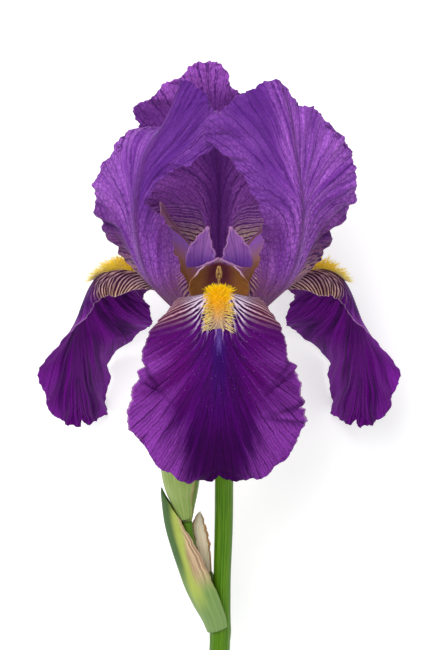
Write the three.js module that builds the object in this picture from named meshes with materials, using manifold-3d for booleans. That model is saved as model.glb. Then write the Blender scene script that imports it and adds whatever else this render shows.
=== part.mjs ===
// A bearded iris flower on its cut stem, lying on its back. Millimetres, +Z up.
//
// The flower is drawn in its own frame: X right, Y along the stem towards the head, Z towards the
// viewer of the front fall, with the top of the perianth tube at the origin. Every petal is one
// curved blade, given by its midrib, its half-widths, and how its section bends away from the midrib.
import * as THREE from 'three';
import { mergeVertices } from 'three/addons/utils/BufferGeometryUtils.js';
import Module from 'manifold-3d';

const wasm = await Module();
wasm.setup();

// Driving dimensions
const STEM_RADIUS = 3.1;
const STEM_END = -146;
const NODE_HEIGHT = -103.5;
const OVARY_FOOT = -46;
const OVARY_RADIUS = 4.2;
const TUBE_RIM_RADIUS = 6.2;
const PETAL_SEAT = 0.3;
const PETAL_THICKNESS = 0.7;
const MIDRIB_THICKNESS = 0.5;
const LEAF_THICKNESS = 0.7;
const SEAT_GAP = 0.3;
const BEARD_START = 0.2;
const BEARD_WIDTH = 0.2;
const HAIR_LENGTH = 4;
const REST_TILT = 22.71;

const rad = THREE.MathUtils.degToRad;

// A smooth curve through [place, value] points, level beyond its two ends.
function curve(points) {
  const place = points.map((p) => p[0]);
  const value = points.map((p) => p[1]);
  const last = points.length - 1;
  const slope = value.map((_, i) => {
    const before = Math.max(i - 1, 0);
    const after = Math.min(i + 1, last);
    return (value[after] - value[before]) / (place[after] - place[before]);
  });
  return (x) => {
    const at = Math.min(Math.max(x, place[0]), place[last]);
    let i = 0;
    while (i < last - 1 && at >= place[i + 1]) i += 1;
    const step = place[i + 1] - place[i];
    const u = (at - place[i]) / step;
    return (1 + 2 * u) * (1 - u) ** 2 * value[i]
      + u * (1 - u) ** 2 * step * slope[i]
      + u * u * (3 - 2 * u) * value[i + 1]
      + u * u * (u - 1) * step * slope[i + 1];
  };
}

// A line through points, by its share of the length of their straight links.
function line(points) {
  const place = [0];
  for (let i = 1; i < points.length; i += 1) {
    place.push(place[i - 1] + points[i].distanceTo(points[i - 1]));
  }
  const length = place[place.length - 1];
  const axes = ['x', 'y', 'z'].map((axis) => curve(points.map((p, i) => [place[i] / length, p[axis]])));
  return { length, at: (s) => new THREE.Vector3(axes[0](s), axes[1](s), axes[2](s)) };
}

// A blade's midrib is given as [distance from the axis, height, sideways shift] points.
const ribPoint = ([out, up, side = 0]) => new THREE.Vector3(side, up, out);

// Returns the function that gives the point of a blade's middle surface at s, from root 0 to tip 1,
// and t, from left margin -1 to right margin 1.
function bladeSurface(form) {
  const rib = line(form.midrib.map(ribPoint));
  const roll = curve(form.roll ?? [[0, 0], [1, 0]]);
  const sides = [form.left, form.right].map((half) => ({
    width: curve(half.width),
    drop: curve(half.end),
    phase: half.phase ?? 0,
    bends: [1, 2, 3].map((k) => curve(half.bend.map((row) => [row[0], row[k]]))),
  }));
  const steps = 10;
  const nudge = 0.001;
  return (s, t) => {
    const q = Math.abs(t);
    const sign = t > 0 ? 1 : -1;
    const half = sides[t > 0 ? 1 : 0];
    const width = half.width(s);
    const a = Math.min(Math.max(s - Math.max(half.drop(q), 0) * s ** 3, nudge), 1 - nudge);
    const along = rib.at(a + nudge).sub(rib.at(a - nudge)).normalize();
    const across = new THREE.Vector3(1, 0, 0);
    across.addScaledVector(along, -along.x).normalize();
    const under = new THREE.Vector3().crossVectors(across, along);
    const turn = rad(roll(a));
    const side = across.clone().multiplyScalar(Math.cos(turn)).addScaledVector(under, Math.sin(turn));
    under.multiplyScalar(Math.cos(turn)).addScaledVector(across, -Math.sin(turn));
    const [first, middle, edge] = half.bends.map((bend) => bend(a));
    const rise = -3 * first + 4 * middle - edge;
    const swell = 2 * first - 4 * middle + 2 * edge;
    const angle = (u) => rad(first + rise * u + swell * u * u);
    let flat = 0;
    let deep = 0;
    for (let k = 0; k < steps; k += 1) {
      const bend = angle((q * (k + 0.5)) / steps);
      flat += (Math.cos(bend) * q * width) / steps;
      deep += (Math.sin(bend) * q * width) / steps;
    }
    const point = rib.at(a).addScaledVector(side, sign * flat).addScaledVector(under, deep);
    if (form.ruffle) {
      const { depth, wave, start } = form.ruffle;
      const run = a * rib.length + (1 - q) * width * s ** 4;
      const reach = Math.min(Math.max((s - start) / 0.25, 0), 1) * Math.min(1, 2.5 * q);
      const margin = 1 - (1 - q ** 2.5) * (1 - s ** 9);
      const lift = depth * reach * margin * Math.sin((2 * Math.PI * run) / wave + half.phase);
      const bend = angle(q);
      point.addScaledVector(side, -sign * Math.sin(bend) * lift).addScaledVector(under, Math.cos(bend) * lift);
    }
    return point;
  };
}

// Points and unit normals of a surface over a grid; the normals point to the blade's underside.
function sample(surface, rows, columns, span = [0, 1], reach = 1) {
  const place = (i, j) => [span[0] + (span[1] - span[0]) * (i / rows), reach * ((2 * j) / columns - 1)];
  const grid = [];
  for (let i = 0; i <= rows; i += 1) {
    const row = [];
    for (let j = 0; j <= columns; j += 1) row.push({ point: surface(...place(i, j)) });
    grid.push(row);
  }
  grid.forEach((row, i) => row.forEach((knot, j) => {
    const across = row[Math.min(j + 1, columns)].point.clone().sub(row[Math.max(j - 1, 0)].point);
    const along = grid[Math.min(i + 1, rows)][j].point.clone().sub(grid[Math.max(i - 1, 0)][j].point);
    knot.normal = new THREE.Vector3().crossVectors(across, along).normalize();
  }));
  return grid;
}

// Closes two sheets of points into one solid: `under` faces the normals, `upper` faces the other way.
// Where `peak` gives a point for a cell, the upper face of that cell rises to it.
function closeSheets(under, upper, peak = () => null) {
  const rows = under.length - 1;
  const columns = under[0].length - 1;
  const points = [...under.flat(), ...upper.flat()];
  const below = (i, j) => i * (columns + 1) + j;
  const above = (i, j) => below(i, j) + (rows + 1) * (columns + 1);
  const faces = [];
  for (let i = 0; i < rows; i += 1) {
    for (let j = 0; j < columns; j += 1) {
      faces.push([below(i, j), below(i, j + 1), below(i + 1, j + 1)]);
      faces.push([below(i, j), below(i + 1, j + 1), below(i + 1, j)]);
      const corners = [above(i, j), above(i + 1, j), above(i + 1, j + 1), above(i, j + 1)];
      const top = peak(i, j);
      if (top) {
        points.push(top);
        const tip = points.length - 1;
        corners.forEach((corner, k) => faces.push([corner, corners[(k + 1) % 4], tip]));
      } else {
        faces.push([corners[0], corners[2], corners[3]]);
        faces.push([corners[0], corners[1], corners[2]]);
      }
    }
  }
  const wall = (a, b, c, d) => faces.push([a, b, c], [a, c, d]);
  for (let i = 0; i < rows; i += 1) {
    wall(below(i, 0), below(i + 1, 0), above(i + 1, 0), above(i, 0));
    wall(below(i + 1, columns), below(i, columns), above(i, columns), above(i + 1, columns));
  }
  for (let j = 0; j < columns; j += 1) {
    wall(below(0, j + 1), below(0, j), above(0, j), above(0, j + 1));
    wall(below(rows, j), below(rows, j + 1), above(rows, j + 1), above(rows, j));
  }
  return meshOf(points, faces);
}

function meshOf(points, faces) {
  const geometry = new THREE.BufferGeometry();
  geometry.setAttribute('position', new THREE.Float32BufferAttribute(points.flatMap((p) => [p.x, p.y, p.z]), 3));
  geometry.setIndex(faces.flat());
  return geometry;
}

// A blade of even thickness, thicker along its midrib.
function blade(form, rows, columns, thickness = PETAL_THICKNESS, rib = 0) {
  const grid = sample(bladeSurface(form), rows, columns);
  const offset = (share) => grid.map((row) => row.map(({ point, normal }, j) => {
    const q = Math.abs((2 * j) / columns - 1);
    return point.clone().addScaledVector(normal, share * (thickness + rib * Math.max(0, 1 - 3 * q)));
  }));
  return closeSheets(offset(0.5), offset(-0.5));
}

// A round rod along points [x, y, z, radius]; `lobes` draws its section in at even places.
function rod(stations, rings, sides, lobes = 0, lobeDepth = 0) {
  const path = line(stations.map(([x, y, z]) => new THREE.Vector3(x, y, z)));
  const place = [0];
  for (let i = 1; i < stations.length; i += 1) {
    const [a, b] = [stations[i - 1], stations[i]];
    place.push(place[i - 1] + Math.hypot(b[0] - a[0], b[1] - a[1], b[2] - a[2]) / path.length);
  }
  const radius = curve(stations.map((station, i) => [place[i], station[3]]));
  const points = [];
  const faces = [];
  for (let i = 0; i <= rings; i += 1) {
    const u = i / rings;
    const along = path.at(Math.min(u + 0.01, 1)).sub(path.at(Math.max(u - 0.01, 0))).normalize();
    const across = new THREE.Vector3(1, 0, 0).addScaledVector(along, -along.x).normalize();
    const back = new THREE.Vector3().crossVectors(across, along);
    for (let j = 0; j < sides; j += 1) {
      const turn = (2 * Math.PI * j) / sides;
      const r = radius(u) * (1 + lobeDepth * Math.cos(lobes * turn));
      points.push(path.at(u).addScaledVector(across, r * Math.cos(turn)).addScaledVector(back, r * Math.sin(turn)));
    }
  }
  const ring = (i, j) => i * sides + (j % sides);
  for (let i = 0; i < rings; i += 1) {
    for (let j = 0; j < sides; j += 1) {
      faces.push([ring(i, j), ring(i + 1, j), ring(i + 1, j + 1)]);
      faces.push([ring(i, j), ring(i + 1, j + 1), ring(i, j + 1)]);
    }
  }
  points.push(path.at(0), path.at(1));
  for (let j = 0; j < sides; j += 1) {
    faces.push([points.length - 2, ring(0, j), ring(0, j + 1)]);
    faces.push([points.length - 1, ring(rings, j + 1), ring(rings, j)]);
  }
  return meshOf(points, faces);
}

// Joins closed geometries into one solid.
function join(geometries) {
  const solids = geometries.map((geometry) => {
    const merged = mergeVertices(geometry, 1e-5);
    return new wasm.Manifold(new wasm.Mesh({
      numProp: 3,
      vertProperties: new Float32Array(merged.attributes.position.array),
      triVerts: new Uint32Array(merged.index.array),
    }));
  });
  const whole = solids.reduce((sum, solid) => sum.add(solid)).getMesh();
  const geometry = new THREE.BufferGeometry();
  geometry.setAttribute('position', new THREE.BufferAttribute(new Float32Array(whole.vertProperties), 3));
  geometry.setIndex(Array.from(whole.triVerts));
  return geometry;
}

const mirrored = (form) => ({ ...form, left: form.right, right: form.left });

// The front fall hangs broad and nearly flat. Rows of a bend: [place, at the midrib, halfway, at the margin].
const FRONT_FALL = {
  midrib: [[5.5, PETAL_SEAT], [9, 5.5], [16, 12], [24, 17.5], [33, 20.5], [41, 20], [47.5, 15.5], [53, 6],
    [57, -5], [58, -16], [56, -28], [53.5, -36.5]],
  left: {
    width: [[0, 2.8], [0.06, 3.5], [0.15, 7], [0.24, 12], [0.33, 18], [0.405, 21], [0.48, 23],
      [0.585, 24.7], [0.69, 26.3], [0.8, 28.5], [0.9, 28.6], [1, 22.5]],
    end: [[0, 0.02], [0.15, 0], [0.4, 0], [0.6, 0.012], [0.8, 0.045], [1, 0.115]],
    bend: [[0, -10, -20, -35], [0.15, -8, -15, -25], [0.24, -2, 0, 0], [0.33, 0, 16, 36],
      [0.42, 0, 18, 40], [0.5, 2, 16, 34], [0.585, 4, 14, 25], [0.7, 4, 12, 18], [0.85, 2, 5, 0],
      [1, 0, 0, -10]],
  },
  right: {
    phase: 1.5,
    width: [[0, 2.8], [0.06, 3.5], [0.15, 7], [0.24, 12], [0.33, 18], [0.405, 20], [0.48, 21],
      [0.585, 22.3], [0.69, 25.5], [0.8, 27], [0.9, 27], [1, 23]],
    end: [[0, 0.02], [0.12, 0.006], [0.3, 0], [0.5, 0.01], [0.7, 0.03], [0.85, 0.065], [1, 0.12]],
    bend: [[0, -10, -20, -35], [0.15, -8, -15, -25], [0.24, -2, 0, 0], [0.33, 0, 16, 36],
      [0.42, 0, 18, 40], [0.5, 2, 16, 34], [0.585, 4, 14, 25], [0.7, 4, 12, 18], [0.85, 2, 5, 0],
      [1, 0, 0, -10]],
  },
  ruffle: { depth: 0.9, wave: 15, start: 0.5 },
};

// A side fall is arched over its haft, waisted, and flared at its end. Its right margin is the near one.
const SIDE_FALL = {
  midrib: [[5.5, PETAL_SEAT], [9, 5], [16, 11], [24, 16], [33, 18.8], [41.5, 18.5], [48.5, 14], [53.5, 5],
    [56.5, -5], [57, -16], [56.5, -28], [54.5, -39.5]],
  left: {
    width: [[0, 2.8], [0.06, 3.5], [0.15, 7], [0.24, 12], [0.33, 17], [0.405, 19.5], [0.48, 21.5],
      [0.585, 27], [0.69, 29.5], [0.78, 28], [0.88, 26], [1, 23]],
    end: [[0, 0.02], [0.15, 0], [0.75, 0.005], [1, 0.03]],
    bend: [[0, -10, -20, -35], [0.15, -8, -15, -25], [0.24, 0, 5, 10], [0.33, 5, 35, 70],
      [0.42, 5, 42, 80], [0.5, 5, 40, 80], [0.6, 5, 40, 70], [0.7, 5, 20, 35], [0.8, 0, -5, 0],
      [0.9, 0, -10, -15], [1, 0, -10, -10]],
  },
  right: {
    phase: 1.5,
    width: [[0, 2.8], [0.06, 3.5], [0.15, 7], [0.24, 11], [0.33, 13.5], [0.405, 13.5], [0.48, 13],
      [0.56, 10], [0.62, 9.5], [0.69, 12.5], [0.78, 18.5], [0.88, 20.5], [1, 17]],
    end: [[0, 0.02], [0.12, 0.006], [0.3, 0.012], [0.6, 0.035], [0.8, 0.06], [1, 0.12]],
    bend: [[0, -10, -20, -35], [0.15, -8, -15, -25], [0.24, 5, 10, 15], [0.33, 10, 45, 75],
      [0.42, 10, 50, 85], [0.5, 10, 50, 85], [0.57, 8, 45, 70], [0.65, 8, 20, 25], [0.72, 3, 0, 0],
      [0.82, 0, -5, -8], [1, 0, -5, -10]],
  },
  ruffle: { depth: 0.9, wave: 15, start: 0.5 },
};

const RIGHT_STANDARD = {
  midrib: [[4.2, PETAL_SEAT], [9, 4], [17, 11], [25, 20], [29.5, 31], [31, 45], [29, 58], [27, 73, -1],
    [23, 87.8, -1.8]],
  roll: [[0, 0], [0.3, 15], [1, 30]],
  left: {
    width: [[0, 2.2], [0.12, 4.5], [0.25, 9], [0.4, 12], [0.5, 13], [0.58, 14], [0.67, 16], [0.75, 19],
      [0.83, 23], [0.92, 28], [1, 29]],
    end: [[0, 0], [0.25, 0], [0.5, 0.018], [0.75, 0.045], [1, 0.09]],
    bend: [[0, -10, -25, -40], [0.3, -10, -35, -60], [0.6, -10, -25, -40], [0.8, -8, -18, -40],
      [1, -5, -15, -35]],
  },
  right: {
    phase: 1,
    width: [[0, 2.2], [0.12, 4.5], [0.25, 12], [0.34, 16.5], [0.4, 16.5], [0.46, 17], [0.5, 17],
      [0.54, 19], [0.58, 22], [0.65, 23], [0.7, 23.5], [0.83, 23], [1, 16]],
    end: [[0, 0], [0.08, 0.02], [0.16, 0.06], [0.3, 0.09], [0.5, 0.112], [0.7, 0.133], [0.85, 0.165],
      [1, 0.22]],
    bend: [[0, -10, -25, -40], [0.3, -10, -20, -10], [0.6, -10, 0, 10], [1, -10, 0, 0]],
  },
  ruffle: { depth: 0.9, wave: 15, start: 0.35 },
};

// The left standard folds its upper left side back behind the midrib.
const LEFT_STANDARD = {
  midrib: [[4.2, PETAL_SEAT], [9, 4], [17, 11], [25, 20], [29.5, 31], [31, 45], [28, 60], [20.5, 74, 2],
    [14, 87.5, 1]],
  roll: [[0, 0], [0.3, -10], [1, -20]],
  left: {
    width: [[0, 2.2], [0.12, 4.5], [0.25, 11], [0.34, 14.5], [0.4, 15], [0.5, 17], [0.6, 18.5],
      [0.667, 18], [0.7, 17], [0.75, 15], [0.8, 14], [0.85, 14], [1, 10]],
    end: [[0, 0], [0.5, 0.03], [1, 0.2]],
    bend: [[0, -10, -25, -40], [0.3, -10, -20, -10], [0.5, -10, 5, 15], [0.62, -10, 10, 20],
      [0.72, -8, 5, 10], [0.79, -25, -25, -15], [0.86, -60, -95, -80], [1, -60, -110, -90]],
  },
  right: {
    phase: 1,
    width: [[0, 2.2], [0.12, 4.5], [0.25, 8.5], [0.4, 11.5], [0.48, 11], [0.54, 7], [0.58, 4], [0.62, 4],
      [0.68, 7], [0.74, 10], [0.8, 13], [0.87, 16], [0.94, 17.5], [1, 15]],
    end: [[0, 0], [0.5, 0.02], [1, 0.08]],
    bend: [[0, -10, -25, -40], [0.25, -10, -30, -50], [0.42, -30, -50, -10], [0.55, -50, -60, -60],
      [0.7, -50, -45, -40], [1, -30, -35, -40]],
  },
  ruffle: { depth: 0.9, wave: 15, start: 0.35 },
};

const BACK_STANDARD = {
  midrib: [[4.2, PETAL_SEAT], [9, 4], [17, 11], [25, 20], [29.5, 31], [31, 45], [29, 58, 1],
    [23.5, 73, 3], [17, 90.5, 4]],
  left: {
    width: [[0, 2.2], [0.12, 4.5], [0.25, 9.5], [0.36, 17], [0.45, 21], [0.55, 24], [0.7, 27], [0.85, 26],
      [1, 18]],
    end: [[0, 0], [0.3, 0.015], [0.42, 0.08], [0.6, 0.11], [1, 0.2]],
    bend: [[0, -10, -25, -40], [0.3, -20, -40, -50], [0.6, -10, -20, -20], [1, -10, -20, -10]],
  },
  right: {
    phase: 1,
    width: [[0, 2.2], [0.12, 4.5], [0.25, 9.5], [0.36, 19], [0.45, 26], [0.55, 27.5], [0.7, 24],
      [0.85, 24.7], [1, 26]],
    end: [[0, 0], [0.15, 0.005], [0.3, 0.03], [0.5, 0.055], [0.8, 0.1], [1, 0.13]],
    bend: [[0, -10, -25, -40], [0.3, -20, -40, -50], [0.6, -10, -20, -20], [1, -10, -15, -10]],
  },
  ruffle: { depth: 0.9, wave: 15, start: 0.35 },
};

// A style arm is a vault over its stamen, ending in the stigma lip under two upright crests.
const styleSide = {
  width: [[0, 1.2], [0.15, 4], [0.35, 8.5], [0.55, 11], [0.75, 12], [0.9, 11], [1, 8]],
  end: [[0, 0], [0.5, 0.02], [1, 0.09]],
  bend: [[0, 0, 20, 40], [0.35, 8, 40, 65], [0.6, 8, 35, 60], [0.85, 8, 30, 50], [1, 8, 22, 35]],
};
const STYLE_ARM = {
  midrib: [[1.7, PETAL_SEAT + 0.2], [3.6, 6], [7, 15], [11.5, 23], [18, 29]],
  left: styleSide,
  right: styleSide,
};
const crestSide = (reach) => ({
  width: [[0, 4.6], [0.2, 5.3], [0.4, 4.8], [0.65, 3], [0.85, 1.5],
    [1, 0.5]].map(([s, w]) => [s, w * reach]),
  end: [[0, 0], [1, 0.02]],
  bend: [[0, 10, 20, 35], [0.6, 10, 25, 40], [1, 5, 10, 10]],
});
const crest = (side) => ({
  midrib: [[15.2, 24.6, 5.6 * side], [16.6, 29, 5.4 * side], [16.2, 34, 4.9 * side], [14.8, 39.3, 4 * side]],
  left: crestSide(side < 0 ? 1.1 : 0.95),
  right: crestSide(side < 0 ? 0.95 : 1.1),
});
const styleArm = () => join([
  blade(STYLE_ARM, 8, 6),
  blade(crest(-1), 5, 4, 0.8),
  blade(crest(1), 5, 4, 0.8),
]);

const stamen = () => join([
  rod([[0, PETAL_SEAT, 3.4, 0.6], [0, 8, 6.6, 0.6], [0, 16, 10.8, 0.6], [0, 23, 15, 0.6]], 8, 6),
  rod([[0, 21.8, 14.5, 0.8], [0, 23.2, 15.4, 1.1], [0, 25.2, 16.8, 1], [0, 26.8, 18, 0.6]], 6, 6),
]);

// A beard is a tongue along the middle of its fall, with every cell of it drawn up into a tuft.
function beard(fallForm, end) {
  const rows = 12;
  const columns = 4;
  const surface = bladeSurface(fallForm);
  const grid = sample(surface, rows, columns, [BEARD_START, end], BEARD_WIDTH);
  const seat = PETAL_THICKNESS / 2 + MIDRIB_THICKNESS / 2 + SEAT_GAP;
  const lift = (height) => grid.map((row, i) => row.map(({ point, normal }, j) => {
    const mound = height * (1 - Math.abs((2 * j) / columns - 1)) * Math.sin((Math.PI * (i + 0.5)) / (rows + 1));
    return point.clone().addScaledVector(normal, -(seat + (height > 0 ? 0.6 + mound : 0)));
  }));
  const upper = lift(1);
  const tuft = (i, j) => {
    const corners = [upper[i][j], upper[i + 1][j], upper[i + 1][j + 1], upper[i][j + 1]];
    const centre = corners.reduce((sum, p) => sum.add(p), new THREE.Vector3()).multiplyScalar(0.25);
    const outward = grid[i][j].normal.clone().add(grid[i + 1][j + 1].normal).multiplyScalar(-0.5);
    const across = grid[i][columns].point.clone().sub(grid[i][0].point).normalize();
    const fan = 0.5 * ((2 * (j + 0.5)) / columns - 1);
    const length = HAIR_LENGTH * (0.55 + 0.45 * Math.sin((Math.PI * (i + 1)) / rows));
    return centre.addScaledVector(outward.addScaledVector(across, fan).normalize(), length);
  };
  return closeSheets(lift(0), upper, tuft);
}

// The branch's leaf is folded along its keel, which points left, and clasps the stem at its foot.
const bractSide = {
  width: [[0, 9.8], [0.08, 11], [0.18, 12], [0.31, 11.8], [0.455, 11], [0.6, 9.5], [0.71, 7.8], [0.81, 6],
    [0.94, 2.2], [1, 0.6]],
  end: [[0, 0], [1, 0.01]],
  bend: [[0, 0, -60, -120], [0.12, -6, -62, -108], [0.25, -14, -64, -94], [0.5, -20, -68, -86],
    [0.85, -20, -55, -75], [1, -15, -20, -25]],
};
const BRACT = {
  midrib: [[3.6, -103.6], [5.4, -99.5], [8.2, -94.5], [11.2, -88], [13.6, -81], [15.8, -74],
    [17.4, -68.2], [18.4, -63], [19.2, -56.2], [19.5, -52.6]],
  left: bractSide,
  right: bractSide,
};

// The dry bract stands between the branch and the stem.
const dryHalf = {
  width: [[0, 1.4], [0.3, 2.4], [0.6, 2.8], [0.85, 2], [1, 0.4]],
  end: [[0, 0], [1, 0.03]],
  bend: [[0, -5, -15, -25], [1, -5, -20, -30]],
};
const DRY_BRACT = {
  midrib: [[-1.3, -83, -3.8], [-1.8, -78.5, -4.8], [-2.4, -73, -5.8], [-2.8, -67, -6.9], [-2.7, -61.8, -6.4]],
  left: dryHalf,
  right: dryHalf,
};

const BUD = [[-10.6, -64.3, 0, 1.4], [-10.7, -61, 0, 2.2], [-11.3, -56, 0, 3.9], [-11.9, -50, 0, 5.4],
  [-12.3, -44, 0, 5.6], [-12.7, -37, 0, 4], [-13, -32, 0, 2.1], [-13.2, -28, 0, 0.5]];
const budValveSide = {
  width: [[0, 6.3], [0.1, 8.8], [0.24, 13], [0.38, 15.2], [0.53, 15], [0.71, 12], [0.87, 7], [1, 3]],
  end: [[0, 0], [1, 0.02]],
  bend: [[0, 0, -58, -116], [0.5, 0, -60, -120], [1, 0, -40, -90]],
};
const BUD_VALVE = {
  midrib: [[13.5, -63.9], [14.8, -60.3], [17.1, -55.3], [18.7, -50], [19.3, -44], [18.6, -37],
    [16.9, -31], [14.9, -26]],
  left: budValveSide,
  right: budValveSide,
};
const BUD_STALK = [[-3.3, -97.5, 0, 0.9], [-4.3, -93, 0, 1.4], [-5.9, -87, 0, 1.8], [-8.7, -78, 0, 1.9],
  [-10.4, -70, 0, 1.9], [-10.85, -64.7, 0, 1.7]];

// The stem leans a little and swells at the joint that carries the branch.
const STEM = [[-0.2, STEM_END, 0, 3.6], [0, -120, 0, 3.6], [0.3, NODE_HEIGHT - 4.5, 0, 3.5],
  [0.5, NODE_HEIGHT, 0, 3.65], [0.8, NODE_HEIGHT + 4, 0, 3.2], [1, -94, 0, 2.95], [1.1, -84, 0, 2.95],
  [1.6, -66, 0, STEM_RADIUS], [1.75, OVARY_FOOT - SEAT_GAP, 0, STEM_RADIUS]];
const OVARY = [[1.75, OVARY_FOOT, 0, STEM_RADIUS], [1.7, -42.5, 0, 3.7], [1.6, -36, 0, OVARY_RADIUS],
  [1.2, -28, 0, 3.6], [0.8, -21, 0, 2.7], [0.5, -13, 0, 2.8], [0.2, -5, 0, 4.2],
  [0, -SEAT_GAP, 0, TUBE_RIM_RADIUS]];

const spatheSide = {
  width: [[0, 5.8], [0.2, 7.6], [0.45, 9.2], [0.75, 7], [1, 0.7]],
  end: [[0, 0], [1, 0.02]],
  bend: [[0, 0, -45, -85], [0.5, 0, -45, -80], [1, 0, -20, -40]],
};
const spathe = (axis) => ({
  midrib: [[axis + 4, -46.5], [axis + 5.4, -41], [axis + 6.4, -35], [axis + 6.1, -28], [axis + 5.2, -21],
    [axis + 5, -12]],
  left: spatheSide,
  right: spatheSide,
});

const finish = (color, roughness = 0.6) => new THREE.MeshStandardMaterial({ color, roughness, metalness: 0 });
const STANDARD_PURPLE = finish(0x8b4cab);
const FALL_PURPLE = finish(0x3f0f60, 0.5);
const STYLE_MAUVE = finish(0x82509a);
const BEARD_YELLOW = finish(0xdfa40b, 0.8);
const ANTHER_CREAM = finish(0xd9c98c, 0.8);
const TUBE_GREEN = finish(0x6c8a3c);
const STEM_GREEN = finish(0x5b8214, 0.5);
const LEAF_GREEN = finish(0x8a9d57);
const BUD_GREEN = finish(0x829752, 0.5);
const DRY_BUFF = finish(0xd0bd9b, 0.9);

const flower = new THREE.Group();
function add(name, geometry, material, azimuth = 0) {
  const mesh = new THREE.Mesh(geometry, material);
  mesh.name = name;
  mesh.rotation.y = rad(azimuth);
  flower.add(mesh);
}

const petal = (form) => blade(form, 22, 12, PETAL_THICKNESS, MIDRIB_THICKNESS);
const FALLS = {
  front: [FRONT_FALL, 0, 0.52],
  left: [SIDE_FALL, -120, 0.46],
  right: [mirrored(SIDE_FALL), 120, 0.46],
};
for (const [side, [form, azimuth, beardEnd]] of Object.entries(FALLS)) {
  add(`fall_${side}`, petal(form), FALL_PURPLE, azimuth);
  add(`beard_${side}`, beard(form, beardEnd), BEARD_YELLOW, azimuth);
  add(`style_arm_${side}`, styleArm(), STYLE_MAUVE, azimuth);
  add(`stamen_${side}`, stamen(), ANTHER_CREAM, azimuth);
}
const STANDARDS = { right: [RIGHT_STANDARD, 60], left: [LEFT_STANDARD, -60], back: [BACK_STANDARD, 180] };
for (const [side, [form, azimuth]] of Object.entries(STANDARDS)) {
  add(`standard_${side}`, petal(form), STANDARD_PURPLE, azimuth);
}

add('ovary_and_tube', rod(OVARY, 16, 12, 3, 0.05), TUBE_GREEN);
add('spathe_left', blade(spathe(-1.9), 10, 6, LEAF_THICKNESS), LEAF_GREEN, -90);
add('spathe_right', blade(spathe(1.9), 10, 6, LEAF_THICKNESS), LEAF_GREEN, 90);
add('stem', rod(STEM, 18, 12), STEM_GREEN);
add('bud_stalk', rod(BUD_STALK, 8, 10), STEM_GREEN);
add('bud', rod(BUD, 12, 12), BUD_GREEN);
add('bud_valve', blade(BUD_VALVE, 12, 8, LEAF_THICKNESS), BUD_GREEN, -90);
add('bract', blade(BRACT, 14, 8, LEAF_THICKNESS, 0.3), LEAF_GREEN, -90);
add('bract_dry', blade(DRY_BRACT, 10, 6, 0.6), DRY_BUFF);

// The flower lies on its two side falls and the cut end of its stem.
flower.rotation.x = rad(REST_TILT);
const group = new THREE.Group();
group.add(flower);
group.updateMatrixWorld(true);
const box = new THREE.Box3().setFromObject(flower, true);
flower.position.set(-(box.min.x + box.max.x) / 2, -(box.min.y + box.max.y) / 2, -box.min.z);

export default group;
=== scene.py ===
"""A cut bearded iris lying on its back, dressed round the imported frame.

The flower is drawn in millimetres in its own frame, as the part's source draws it: X right, Y along the
stem towards the head, Z towards the viewer of the front fall, with the top of the perianth tube at the
origin. place() turns and lifts it into the row frame, in metres.
"""
import math

import bpy
import numpy as np
from mathutils import Matrix


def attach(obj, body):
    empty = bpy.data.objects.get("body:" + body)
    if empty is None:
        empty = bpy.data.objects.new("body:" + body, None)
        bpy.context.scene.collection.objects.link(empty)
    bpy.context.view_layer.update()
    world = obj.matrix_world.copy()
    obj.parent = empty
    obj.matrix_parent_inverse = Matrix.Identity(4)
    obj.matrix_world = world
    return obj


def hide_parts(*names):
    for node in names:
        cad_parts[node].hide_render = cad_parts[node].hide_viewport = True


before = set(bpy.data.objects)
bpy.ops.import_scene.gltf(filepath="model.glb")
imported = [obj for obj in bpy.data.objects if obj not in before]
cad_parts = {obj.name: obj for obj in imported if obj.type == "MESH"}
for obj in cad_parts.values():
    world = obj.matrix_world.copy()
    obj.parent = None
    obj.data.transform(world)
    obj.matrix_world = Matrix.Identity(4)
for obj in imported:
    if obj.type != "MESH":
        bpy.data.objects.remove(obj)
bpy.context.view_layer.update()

MM = 0.001
REST_TILT = 22.71
FLOWER_SEAT = (0.0, 22.844, 59.695)
PETAL_SEAT = 0.3
PETAL_THICKNESS = 0.7
MARGIN_THICKNESS = 0.25
MIDRIB_THICKNESS = 0.5
VEIN_ROOT = 1.5
HAFT_CURL = 22.0
LEAF_RELIEF = 0.12
BEARD_START = 0.305
BEARD_WIDTH = 0.14
PETAL_GRID = (190, 130)
LEAF_GRID = (90, 60)
STYLE_GRID = (60, 40)
CREST_GRID = (40, 28)
BEARD_GRID = (40, 10)

# The camera stands a little above the plane across the flower's axis, as in the photograph.
PHOTO_SIZE = (436, 650)
PIXELS_PER_MM = 3.0
SEAT_PIXEL = (219, 335)
VIEW_RISE = 12.0
VIEW_DISTANCE = 800.0

rng = np.random.default_rng(7)


# Frames

def rotation_x(degrees):
    c, s = math.cos(math.radians(degrees)), math.sin(math.radians(degrees))
    return np.array([[1, 0, 0], [0, c, -s], [0, s, c]])


def rotation_y(degrees):
    c, s = math.cos(math.radians(degrees)), math.sin(math.radians(degrees))
    return np.array([[c, 0, s], [0, 1, 0], [-s, 0, c]])


TILT = rotation_x(REST_TILT)


def place(points, azimuth=0.0):
    """Points of the flower's frame, turned about its axis, as points of the row frame in metres."""
    return (points @ (TILT @ rotation_y(azimuth)).T + np.array(FLOWER_SEAT)) * MM


# Curves and surfaces

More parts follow.
